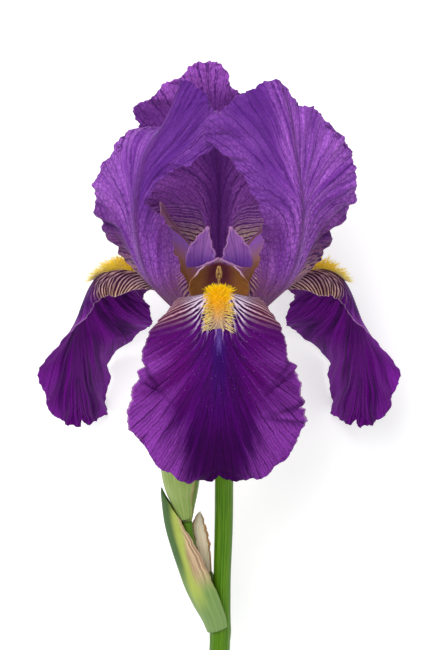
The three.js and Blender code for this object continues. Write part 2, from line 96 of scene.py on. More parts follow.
def curve(points):
    """A smooth curve through (place, value) points, level beyond its two ends."""
    spot = np.array([p[0] for p in points], float)
    value = np.array([p[1] for p in points], float)
    slope = np.empty_like(value)
    slope[1:-1] = (value[2:] - value[:-2]) / (spot[2:] - spot[:-2])
    slope[0] = (value[1] - value[0]) / (spot[1] - spot[0])
    slope[-1] = (value[-1] - value[-2]) / (spot[-1] - spot[-2])

    def at(x):
        x = np.clip(x, spot[0], spot[-1])
        i = np.clip(np.searchsorted(spot, x, side="right") - 1, 0, len(spot) - 2)
        step = spot[i + 1] - spot[i]
        u = (x - spot[i]) / step
        return ((1 + 2 * u) * (1 - u) ** 2 * value[i] + u * (1 - u) ** 2 * step * slope[i]
                + u * u * (3 - 2 * u) * value[i + 1] + u * u * (u - 1) * step * slope[i + 1])
    return at


def line(points):
    """A line through points, by its share of the length of their straight links, and that length."""
    points = np.array(points, float)
    spot = np.r_[0, np.cumsum(np.linalg.norm(np.diff(points, axis=0), axis=1))]
    axes = [curve(list(zip(spot / spot[-1], points[:, k]))) for k in range(3)]
    return (lambda u: np.stack([axis(u) for axis in axes], -1)), spot[-1]


def unit(vectors):
    return vectors / np.linalg.norm(vectors, axis=-1, keepdims=True)


def smooth(x, low, high):
    u = np.clip((x - low) / (high - low), 0, 1)
    return u * u * (3 - 2 * u)


# A blade's bend is summed in steps, and a nudge keeps each place off the ends of its midrib. The side
# shift sets the scallops of its two margins apart, the edge span scales those of its tip, and the pinch
# lift is how far a pinch rises, in millimetres.
STEPS = 12
NUDGE = 0.001
SIDE_SHIFT = 2.1
EDGE_SPAN = 25
PINCH_LIFT = 18
PLAIN_ROLL = [(0, 0), (1, 0)]


def blade_point(form, s, t):
    """Points of a blade's middle surface at s, from root 0 to tip 1, and t, from margin -1 to margin 1.

    Returns the points, and per point the distance from the midrib and from the root, in millimetres.
    A side's end draws the tip's margin back. Its bend is the slope across the blade, in degrees, at the
    midrib, halfway and at the margin. Ruffles, crimps and scallops are (depth, wave length, ...) waves;
    pinches and tucks are folds of one margin, at a spot along the blade."""
    rib, length = line([(q[2] if len(q) > 2 else 0, q[1], q[0]) for q in form["midrib"]])
    q = np.abs(t)
    right = t > 0

    def either(key, k=1):
        pair = [curve([(row[0], row[k]) for row in form[side][key]]) for side in ("left", "right")]
        return lambda x: np.where(right, pair[1](x), pair[0](x))

    def on(side):
        return right == (side == "right")

    scallop = np.zeros_like(s)
    edge_noise = np.zeros_like(s)
    for depth, wave, phase in form.get("scallops", ()):
        scallop += depth * np.sin(2 * np.pi * s * length / wave + phase + np.where(right, SIDE_SHIFT, 0))
        edge_noise += depth * np.sin(2 * np.pi * t * EDGE_SPAN / wave + phase)
    width = either("width")(s)
    width = width * (1 + scallop * smooth(s, 0.15, 0.4) / np.maximum(width, 4))
    for side, spot, spread, depth in form.get("pinches", ()):
        width = width * (1 - depth * np.exp(-((s - spot) / spread) ** 2) * on(side))
    drop = np.maximum(either("end")(q), 0) + (edge_noise + 1) / length * form.get("edge_share", 0)
    a = np.clip(s - drop * s ** 3, NUDGE, 1 - NUDGE)
    along = unit(rib(a + NUDGE) - rib(a - NUDGE))
    level = np.array([1.0, 0, 0]) - along * along[..., :1]
    level = unit(level)
    under = np.cross(level, along)
    turn = np.radians(curve(form.get("roll", PLAIN_ROLL))(a))[..., None]
    sideways = level * np.cos(turn) + under * np.sin(turn)
    under = under * np.cos(turn) - level * np.sin(turn)
    first, middle, edge = (either("bend", k)(a) for k in (1, 2, 3))
    rise = -3 * first + 4 * middle - edge
    swell = 2 * first - 4 * middle + 2 * edge

    def angle(u):
        return np.radians(first + rise * u + swell * u * u)

    x = q * width
    flat = np.zeros_like(x)
    deep = np.zeros_like(x)
    for k in range(STEPS):
        bend = angle(q * (k + 0.5) / STEPS)
        flat += np.cos(bend) * x / STEPS
        deep += np.sin(bend) * x / STEPS
    sign = np.where(right, 1.0, -1.0)
    point = rib(a) + (sign * flat)[..., None] * sideways + deep[..., None] * under

    run = a * length + (1 - q) * width * s ** 4
    lift = np.zeros_like(x)
    if "ruffle" in form:
        depth, wave, start = form["ruffle"]
        phase = np.where(right, form["right"].get("phase", 0), form["left"].get("phase", 0))
        margin = 1 - (1 - q ** 2.5) * (1 - s ** 9)
        reach = np.clip((s - start) / 0.25, 0, 1) * np.minimum(1, 2.5 * q)
        lift += depth * reach * margin * np.sin(2 * np.pi * run / wave + phase)
    for depth, wave, start, inner in form.get("crimps", ()):
        phase = np.where(right, 1.3, 0.2) + 1.4 * np.sin(run / (1.9 * wave) + 0.7)
        margin = np.maximum(smooth(q, inner, 1), smooth(s, 0.93, 1.0) * 0.8)
        lift += depth * smooth(s, start, start + 0.2) * margin * np.sin(2 * np.pi * run / wave + phase)
    for side, spot, spread, depth in form.get("pinches", ()):
        fold = np.exp(-((a - spot + 0.06 * (1 - q)) / (1.6 * spread)) ** 2) * smooth(q, 0.45, 1)
        lift += PINCH_LIFT * depth * fold * on(side)
    for side, spot, spread, depth, slope in form.get("tucks", ()):
        off = (a - spot - slope * (1 - q)) / spread
        wave = np.sin(np.pi * np.clip(off, -1.5, 1.5)) * np.exp(-off ** 2)
        lift += depth * wave * smooth(q, 0.35, 0.95) * on(side)
    bend = angle(q)
    push = (-sign * np.sin(bend) * lift)[..., None] * sideways + (np.cos(bend) * lift)[..., None] * under
    return point + push, sign * x, a * length


def grid_normals(points):
    """Unit normals of a grid of points; on a blade they point to its underside."""
    return unit(np.cross(np.gradient(points, axis=1), np.gradient(points, axis=0)))


# Meshes

def new_object(name, points, faces, values, azimuth=0.0):
    mesh = bpy.data.meshes.new(name)
    mesh.from_pydata(place(np.asarray(points, float), azimuth).tolist(), [], faces)
    for key, data in values.items():
        layer = mesh.attributes.new(key, "FLOAT", "POINT")
        layer.data.foreach_set("value", np.asarray(data, np.float32).ravel())
    mesh.polygons.foreach_set("use_smooth", np.ones(len(mesh.polygons), bool))
    mesh.update()
    piece = bpy.data.objects.new(name, mesh)
    bpy.context.scene.collection.objects.link(piece)
    return piece


def sheet_faces(rows, columns):
    """Faces that close two grids of (rows + 1) by (columns + 1) points into one skin."""
    index = np.arange((rows + 1) * (columns + 1)).reshape(rows + 1, columns + 1)
    other = index + index.size
    faces = []

    def quads(a, b, c, d):
        faces.extend(np.stack([a.ravel(), b.ravel(), c.ravel(), d.ravel()], 1).tolist())

    quads(index[:-1, :-1], index[:-1, 1:], index[1:, 1:], index[1:, :-1])
    quads(other[:-1, :-1], other[1:, :-1], other[1:, 1:], other[:-1, 1:])
    quads(index[:-1, 0], index[1:, 0], other[1:, 0], other[:-1, 0])
    quads(index[1:, -1], index[:-1, -1], other[:-1, -1], other[1:, -1])
    quads(index[0, 1:], index[0, :-1], other[0, :-1], other[0, 1:])
    quads(index[-1, :-1], index[-1, 1:], other[-1, 1:], other[-1, :-1])
    return faces


def running_sum(values, spot):
    return np.r_[0, np.cumsum((values[1:] + values[:-1]) / 2 * np.diff(spot))]


# A flow is summed over this many millimetres, in this many steps.
FLOW_REACH = 150
FLOW_STEPS = 600


def vein_flow(turns, curl, across, along):
    """A value that stays the same along each vein, and how far apart the veins of values a unit apart lie.

    Veins leave the midrib at a narrow angle and swing outwards, at a rate that turns gives along the blade.
    Their swing grows with the distance from the midrib, or with its cube over curl."""
    rate = curve(turns)

    def swing(x):
        return VEIN_ROOT + (x ** 3 / curl if curl else x)

    spot = np.linspace(0, FLOW_REACH, FLOW_STEPS)
    outwards = running_sum(1 / swing(spot), spot)
    turned = running_sum(rate(spot), spot)
    distance = np.abs(across)
    flow = np.interp(distance, spot, outwards) - np.interp(along, spot, turned)
    return flow, 1 / np.hypot(1 / swing(distance), rate(along))


def pleated(form, s, point, across, along, flow):
    """The points of a blade raised into folds that run with its veins."""
    depth, start = form["pleats"]
    wave = (np.sin(2 * np.pi * 1.3 * flow + 1.5 * np.sin(along / 9) + 0.8 * np.sign(across))
            + 0.6 * np.sin(2 * np.pi * 3.1 * flow + across / 11))
    wave = wave * depth * smooth(s, start, start + 0.25) * smooth(np.abs(across), 1.5, 5)
    return point + wave[..., None] * grid_normals(point)


def blade_data(form, grid, thickness=PETAL_THICKNESS, rib=0.0, margin=MARGIN_THICKNESS):
    """A closed blade, thinner at its margin and thicker along its midrib, with what its finish reads."""
    s, t = np.meshgrid(np.linspace(0, 1, grid[0] + 1), np.linspace(-1, 1, grid[1] + 1), indexing="ij")
    point, across, along = blade_point(form, s, t)
    sides = [vein_flow(form[side].get("veins", form.get("veins", PLAIN_VEINS)), None, across, along)
             for side in ("left", "right")]
    flow, pitch = (np.where(across > 0, right, left) for left, right in zip(*sides))
    q = np.abs(t)
    if "pleats" in form:
        point = pleated(form, s, point, across, along, flow)
    normal = grid_normals(point)
    thick = margin + (thickness - margin) * (1 - q ** 6) * (1 - smooth(s, 0.96, 1.0))
    thick = thick + rib * np.maximum(0, 1 - 3 * q) * (1 - smooth(s, 0.7, 1.0))
    half = (thick / 2)[..., None] * normal
    points = np.concatenate([(point + half).reshape(-1, 3), (point - half).reshape(-1, 3)])
    values = {"across": across, "along": along, "flow": flow, "pitch": pitch, "rim": q, "share": s}
    if "haft" in form:
        values["haft_flow"], values["haft_pitch"] = vein_flow(form["haft"], HAFT_CURL, across, along)
    # Painted shade: along each tuck's fold the blade gets a value by which the finishes darken it.
    if "tucks" in form:
        values["crease"] = np.zeros_like(s)
        for side, spot, spread, _, slope in form["tucks"]:
            off = (s - spot - slope * (1 - q)) / spread
            dark = np.exp(-(2.5 * off) ** 2) * smooth(q, 0.45, 0.85)
            values["crease"] += dark * ((across > 0) == (side == "right"))
    # pale is painted light: 1 where a blade is painted as lit, 0 where it is painted as turned into shade.
    if "pale" in form:
        sideways, upwards, low, high = form["pale"]
        values["pale"] = smooth(sideways * across + upwards * along, low, high)
    values = {key: np.tile(data.ravel(), 2) for key, data in values.items()}
    values["upper"] = np.repeat([0.0, 1.0], s.size)
    return points, sheet_faces(*grid), values


def blade(name, form, grid, azimuth=0.0, **build):
    return new_object(name, *blade_data(form, grid, **build), azimuth)


def joined(name, parts, azimuth=0.0):
    """One object out of several (points, faces, values) pieces."""
    points, faces, start = [], [], 0
    for part_points, part_faces, _ in parts:
        points.append(part_points)
        faces.extend([[index + start for index in face] for face in part_faces])
        start += len(part_points)
    values = {key: np.concatenate([part[2][key] for part in parts]) for key in parts[0][2]}
    return new_object(name, np.concatenate(points), faces, values, azimuth)


def rod_data(stations, rings, sides, lobes=0, lobe_depth=0.0, squash=1.0, ribs=None):
    """A round rod along points (x, y, z, radius), with lobes or ribs along it."""
    stations = np.array(stations, float)
    path, length = line(stations[:, :3])
    spot = np.r_[0, np.cumsum(np.linalg.norm(np.diff(stations[:, :3], axis=0), axis=1))] / length
    radius = curve(list(zip(spot, stations[:, 3])))
    u = np.linspace(0, 1, rings + 1)
    along = unit(path(np.minimum(u + 0.01, 1)) - path(np.maximum(u - 0.01, 0)))
    across = unit(np.array([1.0, 0, 0]) - along * along[:, :1])
    back = np.cross(across, along)
    turn = 2 * np.pi * np.arange(sides) / sides
    r = radius(u)[:, None] * (1 + lobe_depth * np.cos(lobes * turn))[None, :]
    if ribs is not None:
        r = r + ribs(u[:, None] * length, turn[None, :])
    points = (path(u)[:, None] + (r * np.cos(turn))[..., None] * across[:, None]
              + (r * squash * np.sin(turn))[..., None] * back[:, None]).reshape(-1, 3)
    index = np.arange((rings + 1) * sides).reshape(rings + 1, sides)
    following = np.roll(index, -1, axis=1)
    faces = np.stack([index[:-1], index[1:], following[1:], following[:-1]], -1).reshape(-1, 4).tolist()
    ends = len(points)
    points = np.concatenate([points, path(np.array([0.0, 1.0]))])
    faces += [[ends, a, b] for a, b in zip(index[0], following[0])]
    faces += [[ends + 1, b, a] for a, b in zip(index[-1], following[-1])]
    faces = [[int(i) for i in face] for face in faces]
    values = {"along": np.r_[np.repeat(u * length, sides), 0, length],
              "turn": np.r_[np.tile(turn, rings + 1), 0, 0]}
    return points, faces, values


# Forms. They are the solids' forms with finer margins, with tucks, and with a narrower flap on the side
# falls. A midrib's points are (out, up) or (out, up, sideways). Rows of a side give the place along the
# blade, from 0 to 1, and then the width, the angles of the bend, or, for the end, how far the tip is drawn
# back at a place across it. Veins and haft give the rate at which the veins swing out, by the length along.

def mirrored(form):
    return form | {"left": form["right"], "right": form["left"]}


def even(midrib, side, **more):
    """A form with both sides the same."""
    return {"midrib": midrib, "left": side, "right": side, **more}


PLAIN_VEINS = [(0, 0.03), (100, 0.03)]
FALL = {
    "veins": [(0, 0.05), (28, 0.07), (45, 0.085), (56, 0.095), (64, 0.09), (74, 0.05), (90, 0.035),
              (110, 0.03)],
    "haft": [(0, 0.3), (36, 0.25), (42, 0.1), (48, 0.055), (56, 0.045), (110, 0.04)],
    "pleats": (0.16, 0.5),
    "ruffle": (0.9, 15, 0.5),
    "edge_share": 1.0,
}
FALL_ROOT = [(0, -10, -20, -35), (0.15, -8, -15, -25)]
FRONT_FALL_BEND = FALL_ROOT + [(0.24, -2, 0, 0), (0.33, 0, 16, 36), (0.42, 0, 18, 40), (0.5, 2, 16, 34),
                               (0.585, 4, 14, 25), (0.7, 4, 12, 18), (0.85, 2, 5, 0), (1, 0, 0, -10)]
FRONT_FALL = FALL | {
    "midrib": [(5.5, PETAL_SEAT), (9, 5.5), (16, 12), (24, 17.5), (33, 20.5), (41, 20), (47.5, 15.5), (53, 6),
               (57, -5), (58, -16), (56, -28), (53.5, -36.5)],
    "left": {
        "width": [(0, 2.8), (0.06, 3.5), (0.15, 7), (0.24, 12), (0.33, 16.5), (0.405, 19), (0.48, 22),
                  (0.585, 24.7), (0.69, 26.3), (0.8, 28.5), (0.9, 28.6), (1, 22.5)],
        "end": [(0, 0.02), (0.15, 0), (0.4, 0), (0.6, 0.012), (0.8, 0.045), (1, 0.115)],
        "bend": FRONT_FALL_BEND,
    },
    "right": {
        "phase": 1.5,
        "width": [(0, 2.8), (0.06, 3.5), (0.15, 7), (0.24, 12), (0.33, 16.5), (0.405, 18.5), (0.48, 20.5),
                  (0.585, 22.3), (0.69, 25.5), (0.8, 27), (0.9, 27), (1, 23)],
        "end": [(0, 0.02), (0.12, 0.006), (0.3, 0), (0.5, 0.01), (0.7, 0.03), (0.85, 0.065), (1, 0.12)],
        "bend": FRONT_FALL_BEND,
    },
    "tucks": [("left", 0.645, 0.022, 1.5, 0.2), ("right", 0.8, 0.02, 1.3, -0.04),
              ("right", 0.625, 0.02, 1.4, 0.2)],
    "crimps": [(0.3, 6.3, 0.45, 0.7), (0.15, 2.9, 0.5, 0.8)],
    "scallops": [(0.3, 8.7, 0.4), (0.18, 3.9, 1.9), (0.1, 1.7, 0.9)],
    "pinches": [("left", 0.655, 0.012, 0.05), ("right", 0.82, 0.008, 0.06), ("right", 0.62, 0.014, 0.04)],
}
SIDE_FALL = FALL | {
    "midrib": [(5.5, PETAL_SEAT), (9, 5), (16, 11), (24, 16), (33, 18.8), (41.5, 18.5), (48.5, 14), (53.5, 5),
               (56.5, -5), (57, -16), (56.5, -28), (54.5, -39.5)],
    "left": {
        "width": [(0, 2.8), (0.06, 3.5), (0.15, 7), (0.24, 12), (0.33, 17), (0.405, 19.5), (0.48, 21.5),
                  (0.585, 27), (0.69, 29.5), (0.78, 28), (0.88, 26), (1, 23)],
        "end": [(0, 0.02), (0.15, 0), (0.75, 0.005), (1, 0.03)],
        "bend": FALL_ROOT + [(0.24, 0, 5, 10), (0.33, 5, 35, 70), (0.42, 5, 42, 80), (0.5, 5, 40, 80),
                             (0.6, 5, 40, 70), (0.7, 5, 20, 35), (0.8, 0, -5, 0), (0.9, 0, -10, -15),
                             (1, 0, -10, -10)],
    },
    "right": {
        "phase": 1.5,
        "width": [(0, 2.8), (0.06, 3.5), (0.15, 7), (0.24, 10.5), (0.33, 12), (0.405, 11.5), (0.48, 11),
                  (0.56, 9.3), (0.62, 9.3), (0.69, 12.5), (0.78, 18.5), (0.88, 20.5), (1, 17)],
        "end": [(0, 0.02), (0.12, 0.006), (0.3, 0.012), (0.6, 0.035), (0.8, 0.06), (1, 0.12)],
        "bend": FALL_ROOT + [(0.24, 5, 10, 15), (0.33, 10, 45, 75), (0.42, 10, 50, 85), (0.5, 10, 50, 85),
                             (0.57, 8, 45, 70), (0.65, 8, 20, 25), (0.72, 3, 0, 0), (0.82, 0, -5, -8),
                             (1, 0, -5, -10)],
    },
    "crimps": [(0.25, 5.7, 0.3, 0.7), (0.12, 2.7, 0.35, 0.8)],
    "scallops": [(0.3, 8.1, 1.4), (0.18, 3.7, 0.2), (0.1, 1.9, 2.2)],
}
STANDARD = {
    "veins": [(0, 0.03), (40, 0.03), (52, 0.07), (60, 0.1), (68, 0.06), (80, 0.035), (105, 0.03)],
    "haft": [(0, 0.05), (24, 0.08), (33, 0.14), (44, 0.12), (54, 0.06), (105, 0.03)],
    "pleats": (0.3, 0.2),
    "ruffle": (0.9, 15, 0.35),
    "crimps": [(0.5, 5.9, 0.25, 0.6), (0.28, 2.7, 0.3, 0.75)],
    "scallops": [(0.45, 9.3, 1.1), (0.25, 4.1, 0.3), (0.13, 1.8, 2.6)],
    "edge_share": 1.0,
}
STANDARD_FOOT = [(4.2, PETAL_SEAT), (9, 4), (17, 11), (25, 20), (29.5, 31), (31, 45)]
INNER_WIDTH = [(0, 2.2), (0.12, 6.5), (0.22, 11), (0.3, 11.6)]
RIGHT_STANDARD = STANDARD | {
    "midrib": STANDARD_FOOT + [(29, 58), (27, 73, -1), (23, 87.8, -1.8)],
    "roll": [(0, 0), (0.3, 15), (1, 30)],
    "left": {
        "width": INNER_WIDTH + [(0.4, 12), (0.5, 13), (0.58, 14), (0.67, 16), (0.75, 19), (0.83, 23),
                                (0.92, 28), (1, 29)],
        "end": [(0, 0), (0.25, 0), (0.5, 0.018), (0.75, 0.045), (1, 0.09)],
        "bend": [(0, -10, -25, -40), (0.3, -10, -35, -60), (0.6, -10, -25, -40), (0.8, -8, -18, -40),
                 (1, -5, -15, -35)],
    },
    "right": {
        "phase": 1,
        "width": [(0, 2.2), (0.12, 4.5), (0.25, 12), (0.34, 16.5), (0.4, 17), (0.46, 16.6), (0.5, 15.6),
                  (0.52, 16.6), (0.545, 20.6), (0.58, 23), (0.65, 23.6), (0.7, 23.5), (0.83, 23), (1, 16)],
        "veins": [(0, 0.03), (40, 0.04), (50, 0.1), (57, 0.2), (64, 0.12), (72, 0.06), (85, 0.035),
                  (105, 0.03)],
        "end": [(0, 0), (0.08, 0.02), (0.16, 0.06), (0.3, 0.09), (0.5, 0.112), (0.7, 0.133), (0.85, 0.165),
                (1, 0.22)],
        "bend": [(0, -10, -25, -40), (0.3, -10, -20, -10), (0.6, -10, 0, 10), (1, -10, 0, 0)],
    },
    # pale: this blade is painted lit towards its right margin.
    "pale": (1, 0, -16, 10),
    "tucks": [("right", 0.545, 0.03, 1.5, 0.08), ("right", 0.48, 0.02, 1.4, -0.08),
              ("right", 0.41, 0.02, 1.4, -0.1), ("right", 0.35, 0.015, 1, -0.08)],
}
LEFT_STANDARD = STANDARD | {
    "midrib": STANDARD_FOOT + [(28, 60), (20.5, 74, 2), (14, 87.5, 1)],
    "roll": [(0, 0), (0.3, -10), (1, -20)],
    "left": {
        "width": [(0, 2.2), (0.12, 4.5), (0.25, 11), (0.34, 14.5), (0.4, 15), (0.5, 17), (0.6, 18.5),
                  (0.667, 18), (0.7, 17), (0.75, 15), (0.8, 14), (0.85, 14), (1, 10)],
        "end": [(0, 0), (0.5, 0.03), (1, 0.2)],
        "bend": [(0, -10, -25, -40), (0.3, -10, -20, -10), (0.5, -10, 5, 15), (0.62, -10, 10, 20),
                 (0.72, -8, 5, 10), (0.79, -25, -25, -15), (0.86, -60, -95, -80), (1, -60, -110, -90)],
    },
    "right": {
        "phase": 1,
        "width": INNER_WIDTH + [(0.4, 11.5), (0.48, 11), (0.54, 7), (0.58, 4), (0.62, 4), (0.68, 7),
                                (0.74, 10), (0.8, 13), (0.87, 16), (0.94, 17.5), (1, 15)],
        "end": [(0, 0), (0.5, 0.02), (1, 0.08)],
        "bend": [(0, -10, -25, -40), (0.25, -10, -30, -50), (0.42, -30, -50, -10), (0.55, -50, -60, -60),
                 (0.7, -50, -45, -40), (1, -30, -35, -40)],
    },
    # pale: this blade is painted lit towards its left margin.
    "pale": (-1, 0, -4, 13),
    "tucks": [("left", 0.5, 0.03, 2.2, -0.06), ("left", 0.41, 0.025, 1.2, -0.04),
              ("left", 0.33, 0.02, 1, -0.04)],
}
BACK_STANDARD = STANDARD | {
    "midrib": STANDARD_FOOT + [(29, 58, 1), (23.5, 73, 3), (17, 90.5, 4)],
    "left": {
        "width": [(0, 2.2), (0.12, 4.5), (0.25, 9.5), (0.36, 17), (0.45, 21), (0.55, 24), (0.7, 27),
                  (0.85, 26), (1, 18)],
        "end": [(0, 0), (0.3, 0.015), (0.42, 0.08), (0.6, 0.11), (1, 0.2)],
        "bend": [(0, -10, -25, -40), (0.3, -20, -40, -50), (0.6, -10, -20, -20), (1, -10, -20, -10)],
    },
    "right": {
        "phase": 1,
        "width": [(0, 2.2), (0.12, 4.5), (0.25, 9.5), (0.36, 19), (0.45, 26), (0.55, 27.5), (0.7, 24),
                  (0.85, 24.7), (1, 26)],
        "end": [(0, 0), (0.15, 0.005), (0.3, 0.03), (0.5, 0.055), (0.8, 0.1), (1, 0.13)],
        "bend": [(0, -10, -25, -40), (0.3, -20, -40, -50), (0.6, -10, -20, -20), (1, -10, -15, -10)],
    },
    # pale: this blade is painted lit towards its tip.
    "pale": (0, 1, 55, 85),
}
STYLE_SIDE = {
    "width": [(0, 1.2), (0.15, 4), (0.35, 8.5), (0.55, 11), (0.75, 12), (0.9, 11), (1, 8)],
    "end": [(0, 0), (0.5, 0.02), (1, 0.09)],
    "bend": [(0, 0, 20, 40), (0.35, 8, 40, 65), (0.6, 8, 35, 60), (0.85, 8, 30, 50), (1, 8, 22, 35)],
}
STYLE_CRIMPS = [(0.2, 4.1, 0.5, 0.7)]
STYLE_ARM = even([(1.7, PETAL_SEAT + 0.2), (3.6, 6), (7, 15), (11.5, 23), (18, 29)], STYLE_SIDE,
                 crimps=STYLE_CRIMPS)
SIDE_STYLE_SIDE = {
    "width": [(0, 1.2), (0.15, 5), (0.35, 9.5), (0.55, 12), (0.75, 13), (0.9, 12), (1, 9)],
    "end": [(0, 0), (0.5, 0.02), (1, 0.09)],
    "bend": [(0, 0, 20, 40), (0.3, 10, 45, 70), (0.6, 10, 50, 75), (1, 10, 40, 60)],
}
SIDE_STYLE_ARM = even([(1.7, PETAL_SEAT + 0.2), (3.4, 8), (5.4, 17), (8.4, 26), (13.5, 31.5), (20, 35.5)],
                      SIDE_STYLE_SIDE, crimps=STYLE_CRIMPS)
CREST_BEND = [(0, 10, 20, 35), (0.6, 10, 25, 40), (1, 5, 10, 10)]
CREST_OUTER = {
    "width": [(0, 5), (0.12, 5.7), (0.3, 5.7), (0.5, 4.6), (0.7, 2.9), (0.88, 1.2), (1, 0.4)],
    "end": [(0, 0), (1, 0.02)],
    "bend": CREST_BEND,
}
CREST_INNER = {
    "width": [(0, 1), (0.08, 3.3), (0.2, 4.7), (0.4, 4.3), (0.65, 2.2), (0.85, 1), (1, 0.4)],
    "end": [(0, 0), (1, 0.02)],
    "bend": CREST_BEND,
}


CREST_SPINE = [(16, 26.4, 5.6), (16.8, 30, 5.4), (16.2, 34.4, 4.6), (14.8, 39.3, 3.6)]
SIDE_CREST_SEAT = (3.5, 6.4)
SIDE_CREST_LEAN = 0.5


def crest(side, seat=(0.0, 0.0), lean=0.0):
    """A lobe of a style arm's crest. seat moves it out and up; lean tips it outwards."""
    out, up = seat
    foot = CREST_SPINE[0][1]
    return {
        "midrib": [(z + out + lean * (y - foot), y + up - 0.5 * lean * (y - foot), x * side)
                   for z, y, x in CREST_SPINE],
        "left": CREST_OUTER if side < 0 else CREST_INNER,
        "right": CREST_INNER if side < 0 else CREST_OUTER,
        "crimps": [(0.3, 3.7, 0.2, 0.5)],
        "scallops": [(0.22, 3.1, 0.5), (0.12, 1.3, 1.1)],
    }


BRACT_SIDE = {
    "width": [(0, 9.8), (0.08, 11), (0.18, 12), (0.31, 11.8), (0.455, 11), (0.6, 9.5), (0.71, 7.8),
              (0.81, 6), (0.94, 2.2), (1, 0.6)],
    "end": [(0, 0), (1, 0.01)],
    "bend": [(0, 0, -60, -120), (0.12, -6, -62, -108), (0.25, -14, -64, -94), (0.5, -20, -68, -86),
             (0.85, -20, -55, -75), (1, -15, -20, -25)],
}
BRACT = even([(3.6, -103.6), (5.4, -99.5), (8.2, -94.5), (11.2, -88), (13.6, -81), (15.8, -74),
              (17.4, -68.2), (18.4, -63), (19.2, -56.2), (19.5, -52.6)],
             BRACT_SIDE, scallops=[(0.2, 7.3, 0.4), (0.1, 2.9, 1.2)])
DRY_SIDE = {
    "width": [(0, 1.4), (0.3, 2.4), (0.6, 2.8), (0.85, 2), (1, 0.4)],
    "end": [(0, 0), (1, 0.03)],
    "bend": [(0, -5, -15, -25), (1, -5, -20, -30)],
}
DRY_BRACT = even([(-1.3, -83, -3.8), (-1.8, -78.5, -4.8), (-2.4, -73, -5.8), (-2.8, -67, -6.9),
                  (-2.7, -61.8, -6.4)],
                 DRY_SIDE, crimps=[(0.25, 5.1, 0.1, 0.3)], scallops=[(0.25, 3.3, 0.4), (0.12, 1.4, 1.2)])
BUD = [(-10.6, -64.3, 0, 1.4), (-10.7, -61, 0, 2.2), (-11.3, -56, 0, 3.9), (-11.9, -50, 0, 5.4),
       (-12.3, -44, 0, 5.6), (-12.7, -37, 0, 4), (-13, -32, 0, 2.1), (-13.2, -28, 0, 0.5)]
BUD_VALVE_SIDE = {
    "width": [(0, 6.3), (0.1, 8.8), (0.24, 13), (0.38, 15.2), (0.53, 15), (0.71, 12), (0.87, 7), (1, 3)],
    "end": [(0, 0), (1, 0.02)],
    "bend": [(0, 0, -58, -116), (0.5, 0, -60, -120), (1, 0, -40, -90)],
}
BUD_VALVE = even([(13.5, -63.9), (14.8, -60.3), (17.1, -55.3), (18.7, -50), (19.3, -44), (18.6, -37),
                  (16.9, -31), (14.9, -26)], BUD_VALVE_SIDE)

# Rods, with the bud above: points (x, y, z, radius).
BUD_STALK = [(-3.3, -97.5, 0, 0.9), (-4.3, -93, 0, 1.4), (-5.9, -87, 0, 1.8), (-8.7, -78, 0, 1.9),
             (-10.4, -70, 0, 1.9), (-10.85, -64.7, 0, 1.7)]
STEM = [(-0.2, -146, 0, 3.6), (0, -120, 0, 3.6), (0.3, -108, 0, 3.5), (0.5, -103.5, 0, 3.65),
        (0.8, -99.5, 0, 3.2), (1, -94, 0, 2.95), (1.1, -84, 0, 2.95), (1.6, -66, 0, 3.1),
        (1.75, -46.3, 0, 3.1)]
OVARY = [(1.75, -46, 0, 3.1), (1.7, -42.5, 0, 3.7), (1.6, -36, 0, 4.2), (1.2, -28, 0, 3.6),
         (0.8, -21, 0, 2.7), (0.5, -13, 0, 2.8), (0.2, -5, 0, 4.2), (0, -0.3, 0, 6.2)]
SPATHE_SIDE = {
    "width": [(0, 5.8), (0.2, 7.6), (0.45, 9.2), (0.75, 7), (1, 0.7)],
    "end": [(0, 0), (1, 0.02)],
    "bend": [(0, 0, -45, -85), (0.5, 0, -45, -80), (1, 0, -20, -40)],
}


def spathe(axis):
    """A valve round the ovary, by the stem's axis at its height."""
    spine = [(4, -46.5), (5.4, -41), (6.4, -35), (6.1, -28), (5.2, -21), (5, -12)]
    return even([(axis + out, up) for out, up in spine], SPATHE_SIDE, scallops=[(0.2, 6.1, 0.9)])


# Materials

def linear(rgb):
    """A display colour, 0 to 255, as the scene-linear colour that shaders take."""
    share = np.array(rgb, float) / 255
    return tuple(np.where(share <= 0.04045, share / 12.92, ((share + 0.055) / 1.055) ** 2.4)) + (1.0,)


class Value:
    """What a node of a finish gives, so that sums, products and steps can be written as such."""

    def __init__(self, look, socket):
        self.look = look
        self.socket = socket

    def __add__(self, other):
        return self.look.math("ADD", self, other)

    def __sub__(self, other):
        return self.look.math("SUBTRACT", self, other)

    def __rsub__(self, other):
        return self.look.math("SUBTRACT", other, self)

    def __mul__(self, other):
        return self.look.math("MULTIPLY", self, other)

    def __truediv__(self, other):
        return self.look.math("DIVIDE", self, other)

    def __abs__(self):
        return self.look.math("ABSOLUTE", self)

    def step(self, low, high, to_low=0.0, to_high=1.0):
        """Goes smoothly from to_low to to_high as this value goes from low to high."""
        node = self.look.nodes.new("ShaderNodeMapRange")
        node.interpolation_type = "SMOOTHSTEP"
        return self.look.fed(node, self, low, high, to_low, to_high)


